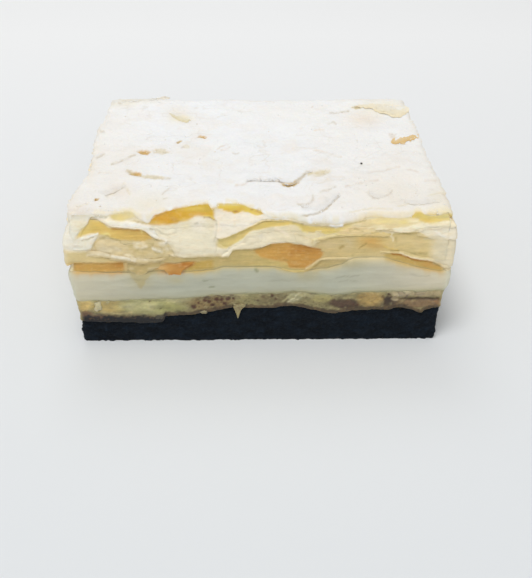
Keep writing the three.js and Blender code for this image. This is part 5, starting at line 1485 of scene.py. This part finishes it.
# fine lines where leaves overlap or crack, darker partly from browned pastry showing through the sugar and partly from
# painted shade in the crack and under the lifted edge: points, width px, depth mm, colour, strength, how much the far
# side lifts
CRACKS = [
    ([(111, 164.6), (116, 163), (122, 161), (128, 158), (136, 154.6)], 1.0, 0.14, "line", 0.8, 0.15),
    ([(236, 185.5), (241, 185), (246, 183)], 1.3, 0.08, "fawn", 0.7, 0.1),
    ([(247, 181), (256, 180), (264, 180.8), (272, 180.6), (279, 181)], 1.1, 0.15, "line", 0.9, 0.32),
    ([(279, 180), (283, 183), (288, 185.4), (293, 184.6), (297, 182)], 1.5, 0.25, "toffee", 1.0, 0.36),
    ([(297, 181.6), (301, 178), (306, 173.4), (310, 172)], 1.4, 0.25, "line", 0.9, 0.35),
    ([(309, 174), (316, 173.6), (323, 172), (329, 171)], 2.0, 0.15, "bone", 0.9, 0.2),
    ([(298, 204.6), (304, 205), (309, 203.6), (313, 200), (313, 195.6)], 1.0, 0.16, "haze", 0.9, 0.2),
    ([(320, 192.4), (327, 190), (335, 186.6)], 1.0, 0.12, "haze", 0.8, 0.15),
    ([(304, 216), (312, 215), (320, 212.6), (327, 208), (333, 202), (338, 196)], 1.1, 0.22, "line", 1.0, 0.35),
    ([(346, 187), (354, 184.6), (362, 183), (370, 181.6), (378, 180)], 1.0, 0.12, "fawn", 0.7, 0.15),
    ([(368.6, 191), (370, 195), (373, 197.4), (378, 198.4)], 0.9, 0.14, "haze", 0.9, 0.2),
    ([(384.6, 196.6), (389, 194.6), (392, 191)], 0.9, 0.14, "haze", 0.9, 0.2),
    ([(314, 150.4), (322, 151.6), (330, 154), (341, 157)], 0.9, 0.1, "fawn", 0.8, 0.12),
    ([(368, 173), (376, 171), (384, 171.6), (392, 168.4), (400, 166.6)], 0.9, 0.08, "fawn", 0.7, 0.08),
    ([(407, 169.4), (412, 170.6), (417, 172)], 0.9, 0.08, "fawn", 0.7, 0.08), ([(425, 181), (431, 180.4), (436, 181.4)], 1.2, 0.1, "fawn", 0.8, 0.1),
    ([(339, 113), (344, 111.6), (349, 111)], 0.9, 0.1, "line", 0.8, 0.1), ([(329, 124), (333, 122), (336, 124)], 0.9, 0.1, "haze", 0.7, 0.1),
    ([(330, 112.6), (334, 113.6), (337, 113)], 0.9, 0.08, "haze", 0.7, 0.1), ([(315, 130), (319, 129.4), (324, 130)], 0.9, 0.08, "blush", 0.7, 0.1),
    ([(217, 149), (221, 146.6), (226, 144.6), (228, 145)], 0.9, 0.08, "fawn", 0.75, 0.1),
    ([(221, 150), (226, 149), (230, 146.6)], 0.8, 0.06, "fawn", 0.6, 0.1), ([(233, 153), (236, 153.6), (239, 153)], 0.9, 0.06, "haze", 0.6, 0.0),
    ([(170, 178.6), (165, 178), (158, 177)], 1.1, 0.08, "haze", 0.7, 0.0), ([(162, 195), (166, 191), (169, 189)], 0.9, 0.06, "haze", 0.6, 0.0),
    ([(163, 199), (167, 198)], 0.8, 0.06, "haze", 0.6, 0.0), ([(99, 173), (105, 172.6), (111, 173.2)], 0.9, 0.1, "fawn", 0.8, 0.1),
    ([(97, 158), (101, 155.6), (104, 154)], 1.1, 0.12, "haze", 0.8, 0.1), ([(93, 141), (92, 150), (91, 158), (90, 166)], 1.5, 0.15, "haze", 0.8, 0.0),
    ([(97, 128), (101, 131.6), (104, 132)], 1.1, 0.1, "haze", 0.8, 0.1), ([(124, 184), (127, 189), (130, 194)], 1.2, 0.1, "pale", 0.7, 0.1),
    ([(107, 197), (114, 193), (122, 187)], 1.4, 0.1, "pale", 0.7, 0.1), ([(134, 98.6), (146, 98.6), (158, 97.6), (168, 96.6)], 1.0, 0.15, "haze", 0.9, 0.0),
    ([(352, 107), (356, 108), (360, 107.6)], 1.0, 0.15, "sand", 0.8, 0.1), ([(182, 147.6), (186, 145), (189, 147.4)], 0.9, 0.08, "haze", 0.7, 0.1),
    ([(70, 214), (80, 206), (88, 203)], 1.1, 0.12, "pale", 0.6, 0.12), ([(398, 206), (410, 203.4), (424, 205)], 0.9, 0.1, "pale", 0.6, 0.1),
    ([(350, 212), (372, 208), (392, 209)], 0.9, 0.1, "pale", 0.6, 0.1), ([(428, 196), (440, 193), (450, 196)], 0.9, 0.1, "pale", 0.6, 0.1),
]
for pts, wd, amp, c3, k2, lift in CRACKS:
    j1 = 1.0 * fbm(u / 2.6, v / 2.6, 1, 79, 3)
    j2 = 0.8 * fbm(u / 2.6, v / 2.6, 2, 80, 3)
    d, side = polyline_distance(u + j1, v + j2, pts)
    broken = 0.55 + 0.65 * sstep(-0.5, 0.3, vn(u / 3.2, v / 2.4, 7, 104))
    h += -amp * bell(d, wd) + lift * np.where(side < 0, np.exp(-d / 4.0), 0) * sstep(0, 0.8, d)
    tint = paint(tint, top(*SHADES[c3]), k2 * broken * bell(d, wd))
# openings in the dusting: centre, radii, slope, colour, strength, depth
HOLES = [(143.8, 152.2, 6.6, 2.3, 0.10, "toast", 1.0, 0.5), (161, 151.6, 9, 2.4, 0.05, "bone", 0.75, 0.2),
         (136.4, 173.6, 6.2, 2.0, 0.08, "toast", 1.0, 0.5), (130, 172, 4.5, 2.4, 0.3, "sand", 0.6, 0.2), (152, 176.8, 13, 2.0, 0.09, "bone", 0.8, 0.2),
         (178.8, 142, 3.0, 1.3, -0.35, "toffee", 0.95, 0.3), (186.6, 146.4, 3.8, 1.8, 0.1, "pale", 0.6, 0.1),
         (201.8, 136.6, 4.8, 1.5, 0.12, "toast", 1.0, 0.35), (96.6, 199.4, 2.4, 1.5, -0.2, "toffee", 0.95, 0.3),
         (322, 173.6, 7, 2.6, -0.25, "bone", 0.6, 0.1), (289, 184.6, 5, 1.6, 0.0, "toffee", 0.8, 0.3), (392.4, 135.6, 4.4, 2.6, 0.2, "fawn", 0.8, 0.1)]
for (a0, b0, ra, rb, sl, c3, k2, dep) in HOLES:
    du_, dv_ = u - a0, v - b0 - sl * (u - a0)
    r = np.hypot(du_ / ra, dv_ / rb) + 0.5 * fbm(u / 2.2, v / 1.6, 3, 81, 3)
    w_ = sstep(1.3, 0.55, r)
    h -= dep * w_
    tint = paint(tint, top(*SHADES[c3]), k2 * w_)
    tint = paint(tint, top(*[c * 0.86 for c in SHADES[c3]]), 0.5 * k2 * w_ * sstep(0.1, 0.5, fbm(u / 1.6, v / 1.3, 9, 105, 2)))
# painted light: towards the back the top is painted lighter and bluer, where less lamp light reaches
tint = np.clip(tint * (1 + np.array([0.03, 0.045, 0.07]) * sstep(170, 112, v)[..., None]), 0, 0.985)
rim_w = np.exp(-np.minimum(dl, db) / 1.6) * (0.6 + 0.6 * fbm(P[..., 0] / 4, P[..., 1] / 4, 0, 83, 2))
tint = paint(tint, top(232, 222, 200), 0.65 * rim_w)
# at the torn front edge the sugar thins out over the leaf that comes up from the cut
behind_e, _ = zones_at(u[:, :1], v[:, :1] + 0.8)
behind_e = paint(behind_e, d8(236, 229, 211), sstep(114, 104, u[:, :1]))
thin = np.exp(-(np.maximum(rise_s, 0) / (0.75 + 0.5 * vn(u / 5, 0, 3, 106))) ** 1.5)
tint = tint * (1 - thin[..., None]) + behind_e * thin[..., None]
pale_lip = 0.5 * np.exp(-((rise_s - 1.6) / 1.2) ** 2) * sstep(-0.2, 0.4, vn(u / 6, 0, 8, 107))
tint = paint(tint, top(238, 226, 190), pale_lip)
ridge = np.abs(fbm(P[..., 0] / 9 + 0.3 * patchy, P[..., 1] / 8, 4, 88, 3))
fine_crack = bell(ridge, 0.03) * sstep(-0.05, 0.4, fbm(P[..., 0] / 12, P[..., 1] / 12, 2, 89, 2))
tint = paint(tint, top(226, 219, 208), 0.45 * fine_crack)
h = h - 0.10 * fine_crack
powder = 0.055 * fbm(P[..., 0] / 1.3, P[..., 1] / 1.3, 0, 85, 3) + 0.03 * vn(P[..., 0] / 0.6, P[..., 1] / 0.6, 0, 86)
crumple_ = 0.13 * fbm(P[..., 0] / 5, P[..., 1] / 5, 0, 87, 3) + 0.05 * np.abs(fbm(P[..., 0] / 2.2, P[..., 1] / 2.2, 6, 108, 2))
P = P + n * (h + (powder + crumple_) * sstep(0, 1.2, rise_s))[..., None]
sugar = np.clip(1 - thin, 0, 1)
# closed body: rim, then a face inside the pastry
soup = Soup()
nu, nv = P.shape[:2]
idx = np.arange(nu * nv).reshape(nu, nv)
loop = np.concatenate([idx[:, 0], idx[-1, 1:], idx[::-1, -1][1:], idx[0, ::-1][1:-1]])
V = P.reshape(-1, 3)
ring = V[loop]
toC = -ring[:, :2] / np.linalg.norm(ring[:, :2], axis=1, keepdims=True)
r1 = ring.copy()
r1[:, :2] += toC * 0.15
r1[:, 2] -= 0.22
r2 = ring.copy()
r2[:, :2] += toC * 2.6
r2[:, 2] -= 0.42
base = nu * nv
L = len(loop)
i1, i2 = base + np.arange(L), base + L + np.arange(L)
Q = [grid_quads(nu, nv)]
for p_, c_ in ((loop, i1), (i1, i2)):
    Q.append(np.stack([np.roll(p_, -1), p_, c_, np.roll(c_, -1)], -1))
r3 = ring.copy()
r3[:, :2] *= 0.8
r3[:, 2] = 46.0
i3 = base + 2 * L + np.arange(L)
Q.append(np.stack([np.roll(i2, -1), i2, i3, np.roll(i3, -1)], -1))
hub = base + 3 * L
T = np.stack([np.roll(i3, -1), i3, np.full(L, hub)], -1)
TT = tint.reshape(-1, 3)
rimcol = np.concatenate([np.tile(TT[loop], (3, 1)), [[0.8, 0.7, 0.5]]])
soup.add(np.concatenate([V, r1, r2, r3, [[0, 0, 46.0]]]), np.concatenate(Q), T,
         np.concatenate([TT, rimcol]), np.concatenate([sugar.reshape(-1), 0.25 * np.ones(L), np.zeros(2 * L + 1)]),
         sharp=np.stack([loop, np.roll(loop, -1)], -1))
soup.build("sugared_top", M_CRUST)
TOPGRID, TOPTINT = P.copy(), tint.copy()


def surface_z(x, y):
    """Height of the sugared top at (x, y)."""
    i = np.clip(np.round((np.asarray(x) + 58.9) / 117.8 * (NXT - 1)).astype(int), 0, NXT - 1)
    col = TOPGRID[i]
    j = np.abs(col[..., 1] - np.asarray(y)[..., None]).argmin(-1)
    return np.take_along_axis(col[..., 2], j[..., None], -1)[..., 0]


def surface_tint(x, y):
    """Colour of the sugared top a little behind (x, y)."""
    i = np.clip(np.round((np.asarray(x) + 58.9) / 117.8 * (NXT - 1)).astype(int), 0, NXT - 1)
    j = np.abs(TOPGRID[i][..., 1] - (np.asarray(y) + 2.0)[..., None]).argmin(-1)
    return TOPTINT[i, j]


# ---------------------------------------------------------------- flakes that lie on the top
soup = Soup()


def top_flake(up, lo, z_up, z_lo, tint, low_tint=None, sugar=0.2, du=0.7, rows=12, th=0.26, rag=0.8, rag_up=0.6, crumple=0.2,
              seed=0, curl=0.0, hump=0.0, mottle=0.2):
    """A leaf lying on the top: z_up, z_lo are heights above the sugared surface at its far and near edge."""
    low_tint = tint if low_tint is None else low_tint
    u, v, us, b, u0, u1 = strip(up, lo, du, rows, seed, rag, rag_up)
    P = on_level(u, v, TOP + 0.6)
    rise = z_up * (1 - b) + z_lo * b + curl * sstep(0.6, 1.0, b) + hump * 4 * b * (1 - b)
    s_ = (u - u0) / (u1 - u0)
    rise = rise * (0.35 + 0.65 * np.sin(math.pi * np.clip(s_, 0, 1)) ** 0.6)
    for _ in range(3):
        zt_ = surface_z(np.clip(P[..., 0], -58, 58), np.clip(P[..., 1], -49, 48.5)) + rise
        P = on_level(u, v, zt_)
    back = on_front(u, v, YF - 50.2)
    P = np.where(P[..., 1:2] > 50.2, back, P)
    P[..., 2] += crumple * (0.7 * fbm(u / 7, v / 3, seed, 92, 2) + 0.4 * fbm(u / 2.5, v / 1.6, seed, 93, 2))
    bt = np.broadcast_to(b, u.shape)[..., None]
    c = surface_tint(P[..., 0], P[..., 1] - 0.6 * bt[..., 0] * (tint is None)) if tint is None else np.asarray(tint) * (1 - bt) + np.asarray(low_tint) * bt
    c = paint(c, lin(242, 232, 208, K_TOP), mottle * sstep(0, 0.4, fbm(u / 5, v / 3, seed, 94, 3)))
    c = paint(c, lin(226, 198, 146, K_TOP), mottle * sstep(0, 0.5, -fbm(u / 4, v / 2.4, seed + 2, 95, 3)))
    leaf(soup, P[:, ::-1], th, c[:, ::-1], 1.0)


def tp(r, g, b):
    return lin(r, g, b, K_TOP)


# the curled leaf at the back right
top_flake([(354, 106), (359, 104.4), (366, 103), (374, 102.6), (382, 102.4), (390, 102.8), (398, 103.6), (404, 105.4), (409, 108)],
          [(354, 107), (359, 107.4), (365, 107.8), (371, 109), (379, 112.4), (387, 115), (394, 117.4), (400, 117.4), (405, 114.6), (409, 110.8)],
          -0.25, 0.12, tp(250, 243, 224), tp(250, 235, 198), 0.0, seed=1, hump=0.15, curl=0.10, rag=0.9, rag_up=0.6, th=0.09, crumple=0.2, mottle=0.1)
top_flake([(372, 104.6), (380, 104), (388, 105.4), (396, 108)], [(372, 108), (380, 111), (388, 113.6), (396, 115.2)],
          -0.1, 0.28, tp(246, 240, 224), tp(246, 235, 206), 0.0, seed=2, rag=0.9, rag_up=0.8, curl=0.05, th=0.08, crumple=0.2, mottle=0.1)
# the browned flake below it
top_flake([(391, 139.6), (396, 136.4), (404, 134.8), (412, 133.8), (418.6, 133.4)], [(391, 143), (396, 144.4), (403, 144), (409, 142.2), (415, 140), (418.6, 137.4)],
          -0.1, 0.1, tp(238, 210, 162), tp(232, 192, 126), 0.0, seed=3, rag=1.6, rag_up=1.6, mottle=0.4, curl=0.05, th=0.09, crumple=0.25, du=0.5)
# edge of the crust at the back left, and the leaf in front of it
top_flake([(112, 100.4), (122, 99.4), (134, 99.2), (146, 99), (156, 98), (163, 96.8), (170, 97.6)], [(112, 103), (122, 103.4), (134, 102), (146, 101), (158, 100.4), (170, 99)],
          0.15, 0.0, tp(240, 236, 224), tp(240, 237, 229), 0.0, seed=5, rag=0.9, rag_up=0.7, th=0.10)
top_flake([(169, 113.4), (176, 114.6), (183, 116.8), (188, 118.4), (191, 119)], [(169, 114.4), (174, 117.8), (181, 121.2), (187, 122.4), (191, 120.8)],
          -0.15, 0.2, tp(239, 234, 214), tp(236, 222, 180), 0.0, seed=6, rag=0.9, rag_up=0.6, th=0.10, mottle=0.1, rows=8, crumple=0.25)
# leaves that lift a little in the crust: the long crack, the tongue right of the middle, small ones
top_flake([(246, 176.4), (256, 175), (268, 175), (280, 175), (290, 177)], [(246, 181.6), (256, 180.6), (265, 181.6), (279, 181.6), (290, 182)],
          -0.4, 0.11, None, None, 0.0, seed=11, rag=0.8, rag_up=0.3, th=0.12, mottle=0.0, crumple=0.12)
top_flake([(280, 176), (288, 176.6), (296, 174), (303, 170), (312, 167)], [(280, 182), (286, 185), (293, 184.4), (300, 178.6), (306, 173.6), (312, 172)],
          -0.4, 0.12, None, None, 0.0, seed=12, rag=0.8, rag_up=0.3, th=0.12, mottle=0.0, crumple=0.12)
top_flake([(301, 203), (308, 201), (314, 196.4), (322, 192), (330, 188.6), (337, 190), (341, 194)], [(301, 207), (305, 213), (310, 215.2), (319, 212.8), (326, 208.4), (333, 202.4), (341, 195)],
          -0.3, 0.11, None, None, 0.0, seed=13, rag=0.5, rag_up=0.6, th=0.12, mottle=0.0, crumple=0.12)
top_flake([(369, 190), (376, 188.6), (384, 189), (392, 189.6)], [(369, 192.6), (373, 196.8), (379, 198), (386, 196), (392, 191.6)],
          -0.3, 0.09, None, None, 0.0, seed=14, rag=0.6, th=0.12, mottle=0.0, crumple=0.1, rows=8)
top_flake([(98, 187), (108, 184), (118, 182.4), (126, 184)], [(98, 192), (108, 195.6), (118, 190.6), (126, 186.4)],
          -0.3, 0.09, None, None, 0.0, seed=15, rag=0.8, th=0.12, mottle=0.15, crumple=0.12, rows=9)
top_flake([(84, 206), (96, 203.4), (110, 205), (120, 209)], [(84, 211), (96, 213.4), (110, 213.6), (120, 211.6)],
          -0.3, 0.11, None, None, 0.0, seed=16, rag=0.8, th=0.12, mottle=0.15, crumple=0.15, rows=9)
top_flake([(404, 198), (416, 195), (430, 195.4), (442, 199)], [(404, 202), (416, 204.6), (430, 204), (442, 201.4)],
          -0.3, 0.10, None, None, 0.0, seed=17, rag=0.9, th=0.12, mottle=0.1, crumple=0.15, rows=9)
soup.build("top_flakes", M_CRUST)

# ---------------------------------------------------------------- loose icing sugar and small crumbs on the top
BALL = []
BALL_F = []


def lump_shape(nlat=3, nlon=6):
    v_ = [(0, 0, 1.0)]
    for i in range(1, nlat):
        th_ = math.pi * i / nlat
        for j in range(nlon):
            ph = 2 * math.pi * (j + 0.5 * (i % 2)) / nlon
            v_.append((math.sin(th_) * math.cos(ph), math.sin(th_) * math.sin(ph), math.cos(th_)))
    v_.append((0, 0, -1.0))
    f_ = []
    for j in range(nlon):
        f_.append((0, 1 + j, 1 + (j + 1) % nlon))
    for i in range(nlat - 2):
        for j in range(nlon):
            a_, b_ = 1 + i * nlon + j, 1 + i * nlon + (j + 1) % nlon
            c_, d_ = a_ + nlon, b_ + nlon
            f_.append((a_, c_, b_))
            f_.append((b_, c_, d_))
    last = len(v_) - 1
    o = 1 + (nlat - 2) * nlon
    for j in range(nlon):
        f_.append((o + j, last, o + (j + 1) % nlon))
    return np.array(v_), np.array(f_)


BV, BF = lump_shape()


def lumps(soup, centre, size, tint, squash=0.7, sugar=0.0):
    m_ = len(centre)
    ang = rng.uniform(0, 2 * math.pi, m_)
    v_ = BV[None] * (1 + 0.25 * rng.standard_normal((m_, len(BV), 1)) * 0.6)
    sc = np.stack([size, size * rng.uniform(0.6, 1.0, m_), size * squash * rng.uniform(0.7, 1.1, m_)], -1)
    v_ = v_ * sc[:, None, :]
    c_, s_ = np.cos(ang)[:, None], np.sin(ang)[:, None]
    x_, y_ = v_[..., 0] * c_ - v_[..., 1] * s_, v_[..., 0] * s_ + v_[..., 1] * c_
    v_ = np.stack([x_, y_, v_[..., 2]], -1) + centre[:, None, :]
    f_ = (BF[None] + np.arange(m_)[:, None, None] * len(BV)).reshape(-1, 3)
    tint = np.broadcast_to(np.asarray(tint, float), (m_, 3))
    soup.add(v_.reshape(-1, 3), None, f_, np.repeat(tint, len(BV), 0), sugar)


soup = Soup()
m_ = 2600
i_ = rng.integers(3, NXT - 3, m_)
j_ = rng.integers(6, NYT - 3, m_)
dens = fbm(TOPGRID[i_, j_, 0] / 9, TOPGRID[i_, j_, 1] / 9, 0, 97, 2)
keep = rng.uniform(-0.6, 0.5, m_) < dens
i_, j_ = i_[keep], j_[keep]
size = rng.gamma(2.2, 0.035, len(i_)) + 0.05
cen = TOPGRID[i_, j_] + np.stack([rng.uniform(-.2, .2, len(i_)), rng.uniform(-.2, .2, len(i_)), size * 0.25], -1)
lumps(soup, cen, size, SUGAR)
soup.build("icing_sugar_lumps", M_SUGAR)

soup = Soup()
m_ = 50
i_ = rng.integers(4, NXT - 4, m_)
j_ = rng.integers(8, NYT - 4, m_)
size = rng.gamma(2.0, 0.06, m_) + 0.10
cen = TOPGRID[i_, j_] + np.stack([0 * size, 0 * size, size * 0.12], -1)
lumps(soup, cen, size, lin(236, 224, 198, 1.0), 0.35, 0.35)
# the one dark speck and the few brown dots
for (a0, b0, r0, col) in [(361.3, 163.6, 0.56, (0.045, 0.040, 0.035)), (197, 124, 0.22, lin(170, 140, 104, .9)), (200, 159, 0.22, lin(150, 124, 96, .9)),
                          (95.5, 199.2, 0.35, lin(206, 170, 110, .92)), (181, 141.3, 0.25, lin(210, 180, 130, .92)), (357, 106.5, 0.25, lin(196, 150, 110, .92))]:
    p0 = on_level(np.array([a0]), np.array([b0]), TOP + 0.4)
    z0 = surface_z(p0[:, 0], p0[:, 1])
    p0 = on_level(np.array([a0]), np.array([b0]), z0 + r0 * 0.3)
    lumps(soup, p0, np.array([r0]), col, 0.7)
soup.build("pastry_crumbs", M_CRUST)

# ---------------------------------------------------------------- floor, light, camera
me = bpy.data.meshes.new("floor")
S = 30.0
me.from_pydata([(-S, -S, 0), (S, -S, 0), (S, S, 0), (-S, S, 0)], [], [(0, 1, 2, 3)])
floor = bpy.data.objects.new("floor", me)
bpy.context.scene.collection.objects.link(floor)
fm, fnt, fb = nodes_of("pale_floor")
bb_ = Build(fnt)
fcol = bb_.mixc(bb_.noise(2.0, 2, 0.5, bb_.coords()), (0.885, 0.895, 0.90), (0.90, 0.91, 0.915))
near = bb_.new("ShaderNodeSeparateXYZ")
bb_.link(bb_.coords(), near.inputs[0])
# painted shade: the floor is painted darker towards the front
fcol = bb_.mixc(bb_.ramp(near.outputs[1], 0.30, -0.14, 0.0, 1.0), fcol, (0.725, 0.75, 0.77))
bb_.link(fcol, fb.inputs["Base Color"])
fb.inputs["Roughness"].default_value = 0.9
me.materials.append(fm)


def area(name, loc, target, size, power, colour=(1, 1, 1)):
    L_ = bpy.data.lights.new(name, "AREA")
    L_.shape = "DISK"
    L_.size = size
    L_.energy = power
    L_.color = colour
    ob = bpy.data.objects.new(name, L_)
    bpy.context.scene.collection.objects.link(ob)
    ob.location = loc
    d_ = np.array(target, float) - np.array(loc, float)
    from mathutils import Vector
    ob.rotation_euler = Vector(d_).to_track_quat("-Z", "Y").to_euler()
    return ob


area("key", (-0.35, -0.65, 1.85), (0, 0, 0.03), 0.9, 19.0)
area("back_fill", (-0.2, 1.15, 1.5), (0, 0.55, 0), 1.0, 5.0)
area("front_fill", (0.35, -1.9, 1.2), (0, 0, 0.03), 1.2, 7.5)
world = bpy.data.worlds.new("world")
world.use_nodes = True
world.node_tree.nodes["Background"].inputs[0].default_value = (1.0, 0.995, 0.985, 1)
world.node_tree.nodes["Background"].inputs[1].default_value = 0.42
scene = bpy.context.scene
scene.world = world
scene.view_settings.view_transform = "Standard"
scene.view_settings.look = "None"

cam_data = bpy.data.cameras.new("camera")
cam_data.sensor_fit = "AUTO"
cam_data.sensor_width = 36.0
cam_data.lens = F_PX * 36.0 / H_PX
cam_data.clip_start = 0.01
cam = bpy.data.objects.new("camera", cam_data)
scene.collection.objects.link(cam)
R = Matrix(((RIGHT[0], UP[0], -FWD[0], CAM[0] * MM), (RIGHT[1], UP[1], -FWD[1], CAM[1] * MM),
            (RIGHT[2], UP[2], -FWD[2], CAM[2] * MM), (0, 0, 0, 1)))
cam.matrix_world = R
scene.camera = cam
